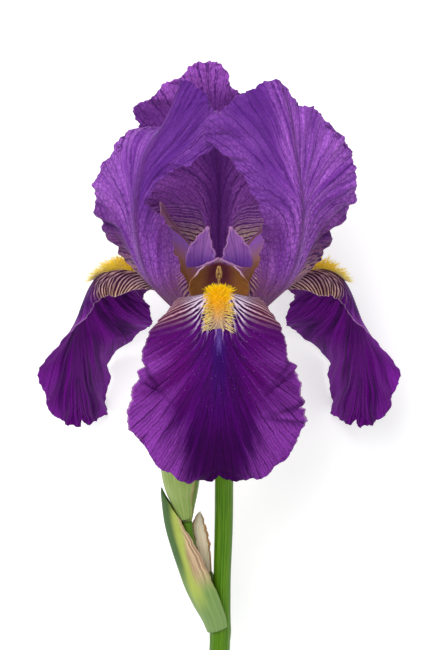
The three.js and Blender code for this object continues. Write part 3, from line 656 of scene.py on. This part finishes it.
class Finish:
    """A material whose nodes are written as expressions. look["flow"] is the mesh's value of that name."""

    def __init__(self, name, roughness, gloss=0.5, scatter=0.0, reach=0.001, **inputs):
        self.material = bpy.data.materials.new(name)
        self.material.use_nodes = True
        self.nodes = self.material.node_tree.nodes
        self.links = self.material.node_tree.links
        self.shader = self.nodes["Principled BSDF"]
        inputs |= {"Roughness": roughness, "Specular IOR Level": gloss, "Subsurface Weight": scatter,
                   "Subsurface Scale": reach}
        for key, value in inputs.items():
            self.shader.inputs[key.replace("_", " ")].default_value = value

    def plug(self, value, socket):
        if isinstance(value, Value):
            self.links.new(value.socket, socket)
        else:
            socket.default_value = value

    def fed(self, node, *values, output=0):
        """Puts values on a node's first sockets, and returns what its output gives."""
        for value, socket in zip(values, node.inputs):
            self.plug(value, socket)
        return Value(self, node.outputs[output])

    def __getitem__(self, name):
        node = self.nodes.new("ShaderNodeAttribute")
        node.attribute_name = name
        return self.fed(node, output="Fac")

    def math(self, operation, *values):
        node = self.nodes.new("ShaderNodeMath")
        node.operation = operation
        return self.fed(node, *values)

    def vector(self, x, y, z=0.0):
        return self.fed(self.nodes.new("ShaderNodeCombineXYZ"), x, y, z)

    def noise(self, vector, scale, detail=2.0):
        node = self.nodes.new("ShaderNodeTexNoise")
        node.inputs["Scale"].default_value = scale
        node.inputs["Detail"].default_value = detail
        return self.fed(node, vector, output="Fac")

    def grain(self, scale, detail):
        """Noise through the material itself, of cells that are 1 / scale metres across."""
        spot = self.fed(self.nodes.new("ShaderNodeTexCoord"), output="Object")
        return self.noise(spot, scale, detail)

    def mix(self, share, *colours):
        """From the first colour to the second by share. Plain colours are display colours, 0 to 255."""
        node = self.nodes.new("ShaderNodeMix")
        node.data_type = "RGBA"
        for value, socket in zip(colours, node.inputs[6:8]):
            self.plug(linear(value) if isinstance(value, tuple) else value, socket)
        return self.fed(node, share, output=2)

    def done(self, colour, height=None, depth=LEAF_RELIEF):
        """The material in this colour, raised by depth millimetres where height is 1."""
        self.plug(colour, self.shader.inputs["Base Color"])
        if height is not None:
            node = self.nodes.new("ShaderNodeBump")
            node.inputs["Distance"].default_value = depth * MM
            self.plug(height, node.inputs["Height"])
            self.links.new(node.outputs[0], self.shader.inputs["Normal"])
        return self.material


def vein_lines(look, spacing, width, warp, seed, kind=""):
    """Lines along a blade's flow, one to two spacings apart: 1 on a line, 0 beyond its width.

    New lines start between the others where the flow spreads. Lengths are in millimetres."""
    flow, pitch = look[kind + "flow"], look[kind + "pitch"]
    along, across = look["along"], look["across"]
    spot = look.vector(flow * 4, along * 0.11, across * 0.03 + seed)
    sway = (look.noise(spot, 1.0, 5.0) - 0.5) * warp
    near = look.noise(look.vector(across * 0.5, along * 0.5, seed), 1.0, 3.0)
    sway = sway + (near - 0.5) * (0.5 * warp)
    bent = flow + sway / pitch
    level = look.math("LOGARITHM", pitch / spacing, 2.0)
    doubled = look.math("FLOOR", level)
    count = look.math("POWER", 2.0, doubled)

    def lines(count):
        share = look.math("FRACT", bent * count)
        share = 0.5 - abs(share - 0.5)
        distance = share * pitch / count
        return distance.step(width, width * 0.4)

    newer = (level - doubled).step(0.1, 0.9)
    return look.math("MAXIMUM", lines(count), newer * lines(count * 2.0))


def fading(look, lines, seed, low=0.35):
    """Lines that grow stronger and weaker along their way."""
    spot = look.vector(look["flow"] * 5, look["along"] * 0.09, seed)
    return lines * look.noise(spot, 1.0, 2.0).step(0.35, 0.65, low, 1.0)


def streaks(look, seed, broad=2.5):
    """Soft broad bands along the flow, 0 to 1."""
    spot = look.vector(look["flow"] * broad, look["along"] * 0.035, look["across"] * 0.04 + seed)
    return look.noise(spot, 1.0, 3.0).step(0.3, 0.7)


def net(look, cell, stretch):
    """The mesh of cross veins: 1 on its threads."""
    spot = look.vector(look["across"] / cell, look["along"] / (cell * stretch))
    node = look.nodes.new("ShaderNodeTexVoronoi")
    node.feature = "DISTANCE_TO_EDGE"
    node.voronoi_dimensions = "2D"
    node.inputs["Scale"].default_value = 1.0
    return look.fed(node, spot, output="Distance").step(0.2, 0.0)


def petal(name, roughness, sheen, gloss):
    """A soft, faintly velvety skin."""
    return Finish(name, roughness, gloss, 0.1, Sheen_Weight=sheen, Sheen_Roughness=0.4,
                  Subsurface_Radius=(1.0, 0.35, 0.9))


def grained(look, tone, dark, share):
    """A fine mottling, of cells less than a millimetre across."""
    return look.mix(look.grain(1300, 4.0).step(0.35, 0.65, 0.0, share), tone, dark)


def relief(look, colour, veins, depth, crumple=0.0):
    """The material in this colour, with sunken veins on a fine grain, over creases of a few millimetres."""
    height = look.grain(800, 3) - veins * 0.7
    creases = look.noise(look.vector(look["flow"] * 5, look["along"] * 0.3, 3.0), 1.0, 4.0)
    return look.done(colour, height + creases * (crumple / depth), depth)


def fall_finish(name, light, light_far, shade, shade_far, dark_width, coarse):
    """Velvet violet. Its haft is striped, light and shade by the beard, light_far and shade_far further out.

    dark_width is the dark stripes' width by the beard and by the margins, and coarse the stripes' spacing
    near the root, in millimetres."""
    look = petal(name, 0.6, 0.0, 0.05)
    along, rim, upper = (look[key] for key in ("along", "rim", "upper"))
    distance = abs(look["across"])
    bands = streaks(look, 1.0, 4.0)
    main = fading(look, vein_lines(look, 2.6, 0.34, 1.8, 1.0), 3.0)
    veins = look.math("MAXIMUM", main, fading(look, vein_lines(look, 0.9, 0.2, 1.8, 1.0), 2.0) * 0.7)
    mesh = net(look, 0.9, 2.6)

    # The blade: darkest in the middle, magenta beside it, mauve at the margins.
    tone = look.mix(bands, (50, 0, 70), (84, 0, 114))
    beside = distance.step(5, 12) * along.step(88, 66)
    tone = look.mix(beside * 0.6, tone, (104, 0, 116))
    tip = look["share"].step(0.68, 1.0) * distance.step(1, 16)
    outer = rim + tip * (1 - rim)
    pale = (outer + (bands - 0.5) * 0.35).step(0.42, 1.08)
    tone = look.mix(pale * along.step(54, 66), tone, (148, 64, 175))
    # Painted shade: the blade's right half is darkened.
    tone = look.mix(look["across"].step(4, 14, 0, 0.25), tone, (70, 10, 92))
    end = distance.step(11, 3) * along.step(76, 96)
    tone = look.mix(end * 0.75, tone, (44, 0, 54))
    # An indigo band down from the beard, with a pale streak at its top.
    indigo = distance.step(3.2, 1.2) * along.step(88, 54)
    tone = look.mix(indigo * 0.8, tone, (44, 8, 104))
    streak = distance.step(1.2, 0.2) * along.step(64, 58)
    tone = look.mix(streak * 0.45, tone, (130, 104, 200))
    tone = look.mix(veins * 0.74, tone, (36, 0, 54))
    tone = look.mix(mesh * 0.16, tone, (48, 0, 66))
    specks = look.grain(2400, 1.0).step(0.74, 0.78)
    tone = look.mix(specks * along.step(94, 60, 0.0, 0.45), tone, (206, 170, 220))

    far = distance.step(5, 15)
    width = distance.step(5, 14, *dark_width) * along.step(44, 68, 1.0, 2.3)
    spacing = look.math("MAXIMUM", distance.step(5, 13, 1.3, 1.6), along.step(50, 40, 1.3, coarse))
    stripes = vein_lines(look, spacing, width, 1.8, 8.0, "haft_")
    pale_stripe = look.mix(far, light, light_far)
    pale_stripe = look.mix(along.step(49, 62), pale_stripe, (150, 80, 182))
    dark_stripe = look.mix(far, shade, shade_far)
    dark_stripe = look.mix(along.step(45, 57), dark_stripe, (78, 4, 102))
    striped = look.mix(stripes, pale_stripe, dark_stripe)
    ragged = look.noise(look.vector(look["haft_flow"] * 9, along * 0.05, 4.0), 1.0, 2.0)
    reach = along + stripes * 7 + (ragged - 0.5) * 30 - distance * 0.1
    tone = look.mix(reach.step(69, 54), tone, striped)
    # Painted shade along the tucks' creases.
    tone = look.mix(look["crease"] * 0.6, tone, (30, 0, 44))
    tone = look.mix(rim.step(0.97, 1.0, 0.0, 0.4), tone, (222, 186, 214))

    beneath = look.mix(bands, (60, 2, 82), (130, 14, 160))
    beneath = look.mix(pale * 0.65, beneath, (136, 44, 166))
    beneath = look.mix(veins * 0.6, beneath, (36, 0, 52))
    lined = look.mix(stripes, (168, 132, 178), beneath)
    beneath = look.mix(along.step(66, 50) * 0.6, beneath, lined)
    beneath = look.mix(along.step(46, 24), beneath, (96, 50, 70))
    # Painted shade along the tucks' creases, beneath as well.
    beneath = look.mix(look["crease"] * 0.6, beneath, (30, 0, 44))
    tone = grained(look, look.mix(upper, beneath, tone), (36, 0, 54), 0.2)
    return relief(look, tone, veins, 0.12, 0.25)


def standard_finish():
    """Mauve, netted and veined; painted shade makes it purple where it turns from its lit side."""
    look = petal("standard", 0.55, 0.05, 0.12)
    along, rim, upper = (look[key] for key in ("along", "rim", "upper"))
    distance = abs(look["across"])
    bands = streaks(look, 3.0)
    main = fading(look, vein_lines(look, 2.8, 0.34, 2.2, 5.0), 4.0, 0.4)
    minor = fading(look, vein_lines(look, 0.75, 0.19, 2.2, 5.0), 6.0, 0.25)
    mesh = net(look, 1.5, 1.5)
    tone = look.mix(bands, (124, 54, 162), (186, 108, 220))
    # Painted shade and light: purple where the blade turns from its lit side, with pale margins mostly on the
    # lit side.
    deep = look["pale"].step(0.65, 0) * along.step(35, 60)
    tone = look.mix(deep * 0.85, tone, (90, 30, 134))
    edge = (rim + (bands - 0.5) * 0.4).step(0.5, 1.0) * look["pale"].step(0.1, 0.9, 0.35, 0.9)
    tone = look.mix(edge, tone, (176, 104, 206))
    # Painted light: the inner face is lightened, as though lit through the petal.
    tone = look.mix(upper * 0.7, tone, (202, 112, 228))
    tone = look.mix(minor * 0.58, tone, (76, 24, 116))
    tone = look.mix(main * 0.66, tone, (64, 16, 102))
    tone = look.mix(mesh * rim.step(0.6, 0.95, 0.28, 0.55), tone, (84, 32, 124))
    # A dull band beside the midrib.
    rib = distance.step(1.3, 0.2) * along.step(95, 40, 0.3, 0.7)
    tone = look.mix(rib, tone, (88, 42, 104))
    # Duller towards the foot, most of all near the margins.
    foot = along.step(64, 44) * rim.step(0.3, 0.8, 0.15, 0.45)
    tone = look.mix(foot, tone, (108, 58, 92))
    grooves = streaks(look, 7.0, 1.4).step(0.5, 0.85) * along.step(74, 54)
    tone = look.mix(grooves * 0.3, tone, (60, 16, 92))
    crinkles = mesh * along.step(62, 48) * along.step(26, 36) * upper.step(1, 0)
    tone = look.mix(crinkles * 0.38, tone, (60, 18, 84))
    # The claw is dull maroon outside; inside it is striped further up, cream below and mauve above.
    outside = look.mix(minor, (112, 66, 84), (66, 30, 46))
    stripes = vein_lines(look, 1.3, 0.56, 2.2, 8.0, "haft_")
    side = look["pale"].step(0.3, 0.9, 0.0, 0.5)
    flap = (rim - along * 0.012 + side).step(0.35, 0.6)
    flap_light = look.mix(along.step(30, 42), (190, 144, 124), (130, 72, 108))
    outside = look.mix(flap, outside, look.mix(stripes, flap_light, (52, 20, 36)))
    low = look.math("MAXIMUM", along.step(36, 22), flap * along.step(53, 38) * look["pale"])
    tone = look.mix(low * upper.step(1, 0) * 0.85, tone, outside)
    light = look.mix(along.step(37, 46), (255, 218, 196), (214, 150, 216))
    dark = look.mix(along.step(37, 46), (78, 34, 52), (112, 50, 140))
    ragged = look.noise(look.vector(look["haft_flow"] * 6, along * 0.06, 2.0), 1.0, 2.0)
    top = along + ragged * 14 - distance.step(3, 8) * 12
    inside = top.step(49, 33) * upper * distance.step(1.5, 4.5)
    tone = look.mix(inside * 0.9, tone, look.mix(stripes, light, dark))
    # Painted shade: the inner face is darkened down its middle and below the tip, deep inside the flower.
    centre_shade = upper * distance.step(7, 1.5) * along.step(90, 50)
    tone = look.mix(centre_shade * 0.7, tone, (80, 4, 112))
    vault = along.step(56, 72) * along.step(98, 86) * upper
    tone = look.mix(vault * 0.6, tone, (72, 8, 104))
    # Painted shade along the tucks' creases.
    tone = look.mix(look["crease"] * 0.55, tone, (62, 18, 92))
    tone = grained(look, tone, (88, 30, 130), 0.35)
    return relief(look, tone, look.math("MAXIMUM", main, minor), 0.16, 0.5)


def style_finish():
    """Mauve and veined, tan towards the margins; beneath it a gold vault, maroon down its middle."""
    look = Finish("style", 0.45, 0.2, 0.15)
    along, rim, upper = (look[key] for key in ("along", "rim", "upper"))
    distance = abs(look["across"])
    veins = fading(look, vein_lines(look, 0.8, 0.2, 0.4, 3.0), 1.0)
    tone = look.mix(veins * 0.3, (148, 92, 180), (92, 48, 132))
    down = distance * 1.2 - along * 0.35
    back = look.mix(down.step(-10, 1), tone, (178, 120, 72))
    back = look.mix(distance.step(0.9, 0.3), back, (128, 84, 66))
    gold = look.mix(distance.step(1.5, 7.5), (112, 50, 68), (146, 94, 44))
    vault = look.mix(along.step(30, 36), gold, (128, 74, 96))
    tone = look.mix(upper, vault, back)
    # Painted shade: the margins' edges are darkened.
    tone = look.mix(rim.step(0.95, 1.0) * 0.7, tone, (118, 76, 58))
    tone = look.mix(look["share"].step(0.94, 1.0) * 0.7, tone, (196, 166, 205))
    return relief(look, tone, veins, 0.06)


def crest_finish(name, root, top):
    """Veined, from one colour at the root to another at the top, with a pale edge."""
    look = Finish(name, 0.45, 0.2, 0.15)
    rim, share = look["rim"], look["share"]
    veins = look.math("MAXIMUM", fading(look, vein_lines(look, 1.0, 0.3, 0.9, 6.0), 4.0),
                      vein_lines(look, 2.6, 0.42, 0.9, 6.0))
    tone = look.mix(share.step(0.0, 0.6), root, top)
    tone = look.mix(veins * 0.42, tone, (62, 22, 98))
    edge = look.math("MAXIMUM", rim.step(0.84, 1.0) * share, share.step(0.84, 1.0))
    tone = look.mix(edge * 0.45, tone, (206, 150, 184))
    return relief(look, tone, veins, 0.08)


def beard_finish(name, foot, yellow, gold, straw):
    """Yellow bristles with golden ends, straw further down, on a darker tongue."""
    look = Finish(name, 0.6, 0.1, 0.1, 0.0006)
    place_along, tip = look["place"], look["tip"]
    body = look.mix(place_along.step(0.5, 0.95), yellow, (228, 206, 168))
    ends = look.mix(place_along.step(0.35, 0.9), gold, straw)
    tone = look.mix(tip.step(0.35, 0.95), body, ends)
    root = look.mix(place_along.step(0.45, 0.9), foot, (112, 74, 84))
    core = look.mix(place_along.step(0.6, 1.0), (232, 168, 0), (166, 136, 124))
    root = look.mix(look["middle"].step(0.2, 0.7), root, core)
    return look.done(look.mix(tip.step(0.2, 0.0), tone, root))


def leaf_fibres(look):
    """Fine lines that run together at both ends of a leaf."""
    spot = look.vector(look["rim"] * 14, look["along"] * 0.05, 1.0)
    return look.noise(spot, 1.0, 3.0).step(0.35, 0.65)


def leaf_patches(look):
    return look.noise(look.vector(look["across"] * 0.15, look["along"] * 0.07, 5.0), 1.0, 2.0)


def leaf_finish(name, green, pale, dry, dry_start, roughness=0.5):
    """Green with fine lengthwise lines, turning papery towards the margin."""
    look = Finish(name, roughness, 0.25, 0.08)
    fibres, patches = leaf_fibres(look), leaf_patches(look)
    tone = look.mix(fibres * 0.6, green, pale)
    tone = look.mix(patches.step(0.35, 0.7, 0.0, 0.5), tone, pale)
    ragged = look["rim"] + (patches - 0.5) * 0.35
    edge = ragged.step(dry_start, dry_start + 0.12)
    tone = look.mix(edge, tone, look.mix(fibres, dry, (160, 120, 96)))
    return look.done(tone, fibres)


def bract_finish():
    """Blue-green on the keel, yellow-green beside it, grey-green at the base, papery at the upper margins."""
    look = Finish("bract", 0.5, 0.25, 0.08)
    along = look["along"]
    distance = abs(look["across"])
    fibres, patches = leaf_fibres(look), leaf_patches(look)
    tone = look.mix(fibres, (110, 142, 66), (146, 168, 92))
    tone = look.mix(along.step(24, 6, 0.0, 0.7), tone, (118, 148, 88))
    stripe = distance.step(2, 4) * distance.step(9, 6) * along.step(6, 18)
    tone = look.mix(stripe * 0.75, tone, (184, 196, 88))
    keel = distance.step(5, 2.5) * along.step(14, 30)
    tone = look.mix(keel * 0.85, tone, (52, 92, 46))
    ragged = distance + (patches - 0.5) * 5
    papery = ragged.step(5, 7) * along.step(13, 25)
    tone = look.mix(papery, tone, look.mix(fibres, (218, 192, 152), (156, 122, 98)))
    return look.done(tone, fibres)


def rod_finish(name, green, pale, lines):
    """Green with fine lengthwise lines round a rod."""
    look = Finish(name, 0.4, 0.2, 0.08)
    along, turn = look["along"], look["turn"]
    round_x, round_y = look.math("COSINE", turn), look.math("SINE", turn)
    ring = look.vector(round_x * lines, round_y * lines, along * 0.03)
    fibres = look.noise(ring, 1.0, 3.0)
    patches = look.noise(look.vector(round_x, round_y, along * 0.08), 1.5, 2.0)
    tone = look.mix(fibres.step(0.35, 0.65), green, pale)
    tone = look.mix(patches.step(0.4, 0.7, 0.0, 0.45), tone, pale)
    return look.done(tone, fibres)


def plain_finish(name, light, dark, scale):
    """Finely mottled from dark to light."""
    look = Finish(name, 0.6, scatter=0.08)
    grain = look.grain(scale, 3.0)
    return look.done(look.mix(grain.step(0.3, 0.7), dark, light), grain, 0.1)


# Pieces

def dress(piece, slot, *finishes, nodes=()):
    """Puts finishes on a piece, and shows it in place of the nodes named."""
    for finish in finishes:
        piece.data.materials.append(finish)
    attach(piece, "root")
    if nodes:
        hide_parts(*nodes)
    return piece


LIP_VALUES = {"across": 0.0, "along": 40.0, "flow": 0.5, "pitch": 4.0, "rim": 1.0, "share": 1.0, "upper": 1.0}


def style_arm(name, azimuth, form, crests, arm_look, crest_look):
    """A style arm with the lobes of its crest and its stigma lip."""
    parts = [blade_data(form, STYLE_GRID, margin=0.35)]
    arm_faces = len(parts[0][1])
    for lobe in crests:
        parts.append(blade_data(lobe, CREST_GRID, thickness=0.8, margin=0.3))
    out, up = form["midrib"][-1]
    lip = [(x, up + 0.4 - 0.55 * abs(x) ** 0.9, out + 0.6 - 0.02 * x * x, 0.42 - 0.03 * abs(x))
           for x in np.linspace(-7.5, 7.5, 11)]
    points, faces, _ = rod_data(lip, 40, 8, squash=0.6)
    values = {key: np.full(len(points), value) for key, value in LIP_VALUES.items()}
    parts.append((points, faces, values))
    piece = joined(f"style_arm_{name}_petaloid", parts, azimuth)
    dress(piece, "style", arm_look, crest_look, nodes=(f"style_arm_{name}",))
    slots = np.zeros(len(piece.data.polygons), np.int32)
    slots[arm_faces:] = 1
    piece.data.polygons.foreach_set("material_index", slots)
    return piece


def stamen(name, azimuth, look):
    """A filament with the two halves of its anther."""
    parts = [rod_data([(0, PETAL_SEAT, 3.4, 0.6), (0, 8, 6.6, 0.55), (0, 16, 10.8, 0.5),
                       (0, 23.4, 15.2, 0.45)], 24, 10)]
    for side in (-1, 1):
        parts.append(rod_data([(0.7 * side, 22.2, 14.7, 0.25), (0.65 * side, 23.4, 15.5, 0.42),
                               (0.45 * side, 25.2, 16.8, 0.45), (0.25 * side, 26.6, 17.8, 0.25)], 16, 12))
    return dress(joined(f"stamen_{name}_anther", parts, azimuth), "stamen", look, nodes=(f"stamen_{name}",))


HAIRS = 680
HAIR_RINGS = 4
HAIR_SIDES = 4
HAIR_RADIUS = 0.16


def beard(name, form, azimuth, end, height, look):
    """Bristles on a low tongue along the middle of a fall's haft."""
    rows, columns = BEARD_GRID
    s, t = np.meshgrid(np.linspace(BEARD_START, end, rows + 1), np.linspace(-1, 1, columns + 1) * BEARD_WIDTH,
                       indexing="ij")
    plain = {key: value for key, value in form.items() if key not in ("crimps", "scallops", "pinches")}
    base, _, _ = blade_point(plain, s, t)
    up = -grid_normals(base)
    u = np.linspace(0, 1, rows + 1)[:, None]
    mound = (1.5 - 1.2 * u) * (1 - (t / BEARD_WIDTH) ** 2) * np.sin(np.pi * np.clip(u, 0.04, 0.96))
    low, high = base + 0.35 * up, base + (0.6 + mound)[..., None] * up
    points = np.concatenate([low.reshape(-1, 3), high.reshape(-1, 3)])
    faces = [face[::-1] for face in sheet_faces(rows, columns)]
    place_along = np.tile(np.repeat(u.ravel(), columns + 1), 2)
    middle = np.tile(1 - np.abs(t).ravel() / BEARD_WIDTH, 2)
    parts = [(points, faces, {"place": place_along, "tip": np.zeros(len(points)), "middle": middle})]

    # A tuft at the top thins into a row down each side.
    root_u = rng.beta(1.0, 1.25, HAIRS)
    in_row = rng.uniform(0, 1, HAIRS) < smooth(root_u, 0.3, 0.8) * 0.6
    side = rng.choice([-1.0, 1.0], HAIRS)
    beside_rib = side * rng.uniform(0.5, 0.9, HAIRS)
    root_t = np.where(in_row, beside_rib, np.clip(rng.normal(0, 0.5, HAIRS), -0.9, 0.9))
    root_s = BEARD_START + (end - BEARD_START) * root_u
    root, _, _ = blade_point(plain, root_s, root_t * BEARD_WIDTH)
    ahead, _, _ = blade_point(plain, root_s + 0.004, root_t * BEARD_WIDTH)
    beside, _, _ = blade_point(plain, root_s, root_t * BEARD_WIDTH + 0.004)
    forward, sideways = unit(ahead - root), unit(beside - root)
    out = -unit(np.cross(sideways, forward))
    fan = root_t * (0.95 + root_u)
    lean = -0.3 + root_u
    heading = unit(out + fan[:, None] * sideways + lean[:, None] * forward
                   + 0.16 * rng.normal(size=(HAIRS, 3)))
    bow = unit(forward * (0.3 + root_u)[:, None] + 0.4 * rng.normal(size=(HAIRS, 3)))
    length = height * rng.uniform(0.75, 1.1, HAIRS) * (0.48 + 0.42 * smooth(root_u, 0, 0.35) - 0.22 * root_u)
    across = unit(np.cross(heading, sideways + 0.01))
    third = np.cross(heading, across)
    turn = 2 * np.pi * np.arange(HAIR_SIDES) / HAIR_SIDES
    share = np.linspace(0, 1, HAIR_RINGS + 1)
    spine = (root[:, None] + 0.4 * out[:, None] + (share * length[:, None])[..., None] * heading[:, None]
             + (0.28 * share ** 2 * length[:, None])[..., None] * bow[:, None])
    radius = HAIR_RADIUS * (1 - 0.7 * share)
    ring = (np.cos(turn)[:, None] * across[:, None] + np.sin(turn)[:, None] * third[:, None])
    hair = spine[:, :, None] + radius[None, :, None, None] * ring[:, None]
    count = (HAIR_RINGS + 1) * HAIR_SIDES
    index = np.arange(HAIRS * count).reshape(HAIRS, HAIR_RINGS + 1, HAIR_SIDES)
    following = np.roll(index, -1, axis=2)
    sides = np.stack([index[:, :-1], following[:, :-1], following[:, 1:], index[:, 1:]], -1).reshape(-1, 4)
    caps = np.concatenate([index[:, 0, ::-1], index[:, -1]])
    tip = np.tile(np.repeat(share, HAIR_SIDES), HAIRS)
    parts.append((hair.reshape(-1, 3), sides.tolist() + caps.tolist(),
                  {"place": np.repeat(root_u, count), "tip": tip, "middle": np.zeros(len(tip))}))
    return dress(joined(f"beard_{name}_bristles", parts, azimuth), "beard", look, nodes=(f"beard_{name}",))


def ridges(count, depth):
    """Ribs for a rod, which turn slowly round it."""
    return lambda along, turn: depth * np.cos(count * turn + 0.02 * along) * np.ones_like(along)


fall_look = fall_finish("fall", (236, 216, 240), (226, 176, 188), (40, 0, 60), (88, 30, 54),
                        (0.58, 1.15), 2.4)
side_look = fall_finish("fall_side", (190, 150, 160), (252, 208, 160), (56, 18, 48), (72, 26, 34),
                        (0.75, 1.0), 1.5)
standard_look = standard_finish()
style_look = style_finish()
crest_look = crest_finish("style_crest", (94, 50, 138), (130, 76, 150))
# The side crests take a browner copy of the crest finish, like the style arms, made lighter as painted light
# because they lie in the flower's shade.
side_crest_look = crest_finish("style_crest_side", (178, 124, 132), (168, 112, 144))
beard_look = beard_finish("beard", (240, 172, 0), (255, 212, 0), (255, 206, 6), (248, 222, 130))
side_beard_look = beard_finish("beard_side", (212, 172, 80), (248, 222, 110), (255, 218, 24), (252, 232, 130))
stamen_look = plain_finish("stamen", (206, 168, 100), (150, 106, 56), 1500)
tube_look = rod_finish("tube", (96, 128, 52), (134, 150, 80), 6)
stem_look = rod_finish("stem", (58, 104, 4), (92, 134, 24), 7)
bud_look = rod_finish("bud", (100, 130, 52), (138, 158, 80), 6)
valve_look = leaf_finish("bud_valve", (126, 154, 72), (162, 178, 108), (188, 176, 120), 0.9)
bract_look = bract_finish()
leaf_look = leaf_finish("leaf", (106, 134, 64), (148, 164, 88), (206, 190, 150), 0.78)
dry_look = leaf_finish("dry_leaf", (240, 218, 174), (255, 248, 230), (206, 160, 108), 0.6, 0.75)

# Per fall: form, azimuth, where its beard ends and how high the beard's tuft is.
FALLS = {"front": (FRONT_FALL, 0, 0.52, 4.2), "left": (SIDE_FALL, -120, 0.48, 5.2),
         "right": (mirrored(SIDE_FALL), 120, 0.48, 5.2)}
for name, (form, azimuth, beard_end, beard_height) in FALLS.items():
    fall = blade(f"fall_{name}_petal", form, PETAL_GRID, azimuth, rib=MIDRIB_THICKNESS)
    dress(fall, "fall", fall_look if name == "front" else side_look, nodes=(f"fall_{name}",))
    beard(name, form, azimuth, beard_end, beard_height, beard_look if name == "front" else side_beard_look)
    if name == "front":
        style_arm(name, azimuth, STYLE_ARM, [crest(-1), crest(1)], style_look, crest_look)
    else:
        lobes = [crest(side, SIDE_CREST_SEAT, SIDE_CREST_LEAN) for side in (-1, 1)]
        style_arm(name, azimuth, SIDE_STYLE_ARM, lobes, style_look, side_crest_look)
    stamen(name, azimuth, stamen_look)

STANDARDS = {"right": (RIGHT_STANDARD, 60), "left": (LEFT_STANDARD, -60), "back": (BACK_STANDARD, 180)}
for name, (form, azimuth) in STANDARDS.items():
    standard = blade(f"standard_{name}_petal", form, PETAL_GRID, azimuth, rib=MIDRIB_THICKNESS)
    dress(standard, "standard", standard_look, nodes=(f"standard_{name}",))

# Per rod: name, stations, rings, sides, its ribs or lobes, slot and finish.
RODS = [
    ("stem", STEM, 120, 48, dict(ribs=ridges(16, 0.05)), "stem", stem_look),
    ("ovary_and_tube", OVARY, 80, 48, dict(lobes=3, lobe_depth=0.05), "tube", tube_look),
    ("bud_stalk", BUD_STALK, 40, 24, dict(ribs=ridges(10, 0.04)), "stem", stem_look),
    ("bud", BUD, 60, 40, dict(ribs=ridges(12, 0.05)), "bud", bud_look),
]
for name, stations, rings, sides, options, slot, look in RODS:
    skin = new_object(f"{name}_skin", *rod_data(stations, rings, sides, **options))
    dress(skin, slot, look, nodes=(name,))

# Per leaf: name, form, azimuth, slot, finish and thickness.
LEAVES = [
    ("spathe_left", spathe(-1.9), -90, "leaf", leaf_look, {}),
    ("spathe_right", spathe(1.9), 90, "leaf", leaf_look, {}),
    ("bud_valve", BUD_VALVE, -90, "bud", valve_look, {}),
    ("bract", BRACT, -90, "leaf", bract_look, dict(rib=0.3)),
    ("bract_dry", DRY_BRACT, 0, "dry_leaf", dry_look, dict(thickness=0.5)),
]
for name, form, azimuth, slot, look, options in LEAVES:
    leaf = blade(f"{name}_leaf", form, LEAF_GRID, azimuth, **options)
    dress(leaf, slot, look, nodes=(name,))


# Floor, light and camera

FLOOR_SIZE = 20
CAMERA_REACH = 20
WORLD_LIGHT = 0.5


def floor():
    bpy.ops.mesh.primitive_plane_add(size=FLOOR_SIZE)
    plane = bpy.context.object
    plane.name = "floor"
    look = Finish("floor", 0.9, Emission_Color=(1, 1, 1, 1), Emission_Strength=0.3)
    plane.data.materials.append(look.done((0.97, 0.97, 0.97, 1)))


def lamp(name, spot, size, power):
    """A square lamp at a spot of the flower's frame, size metres wide, aimed at the flower's heart."""
    data = bpy.data.lights.new(name, "AREA")
    data.size = size
    data.energy = power
    light = bpy.data.objects.new(name, data)
    bpy.context.scene.collection.objects.link(light)
    target = place(np.array([0.0, 10.0, 0.0]))
    position = place(np.array(spot, float))
    aim(light, position, position - target, np.array([0.0, 1.0, 0.0]))


def aim(thing, position, back, up):
    """Puts a camera or lamp at position, looking along -back."""
    back = unit(np.asarray(back, float))
    right = unit(np.cross(up, back))
    over = np.cross(back, right)
    matrix = np.eye(4)
    matrix[:3, 0], matrix[:3, 1], matrix[:3, 2], matrix[:3, 3] = right, over, back, position
    thing.matrix_world = Matrix(matrix.tolist())


def camera():
    """A camera that shows the plane across the flower's axis at the photograph's scale."""
    data = bpy.data.cameras.new("camera")
    height = PHOTO_SIZE[1] / PIXELS_PER_MM
    data.sensor_fit = "VERTICAL"
    data.angle = 2 * math.atan(height / 2 / VIEW_DISTANCE)
    data.clip_end = CAMERA_REACH
    rise = math.radians(VIEW_RISE)
    right = np.array([1.0, 0, 0])
    over = np.array([0, math.cos(rise), -math.sin(rise)])
    back = np.array([0, math.sin(rise), math.cos(rise)])
    shift_x = (PHOTO_SIZE[0] / 2 - SEAT_PIXEL[0]) / PIXELS_PER_MM
    shift_y = (SEAT_PIXEL[1] - PHOTO_SIZE[1] / 2) / PIXELS_PER_MM
    position = place(right * shift_x + over * shift_y + back * VIEW_DISTANCE)
    thing = bpy.data.objects.new("camera", data)
    bpy.context.scene.collection.objects.link(thing)
    aim(thing, position, TILT @ back, TILT @ over)
    bpy.context.scene.camera = thing


floor()
lamp("key", (-350, 450, 750), 0.7, 6.5)
lamp("fill", (450, 100, 700), 0.9, 2.0)
world = bpy.data.worlds.new("studio")
world.use_nodes = True
background = world.node_tree.nodes["Background"]
background.inputs["Color"].default_value = (1, 1, 1, 1)
background.inputs["Strength"].default_value = WORLD_LIGHT
bpy.context.scene.world = world
bpy.context.scene.view_settings.view_transform = "Standard"
camera()
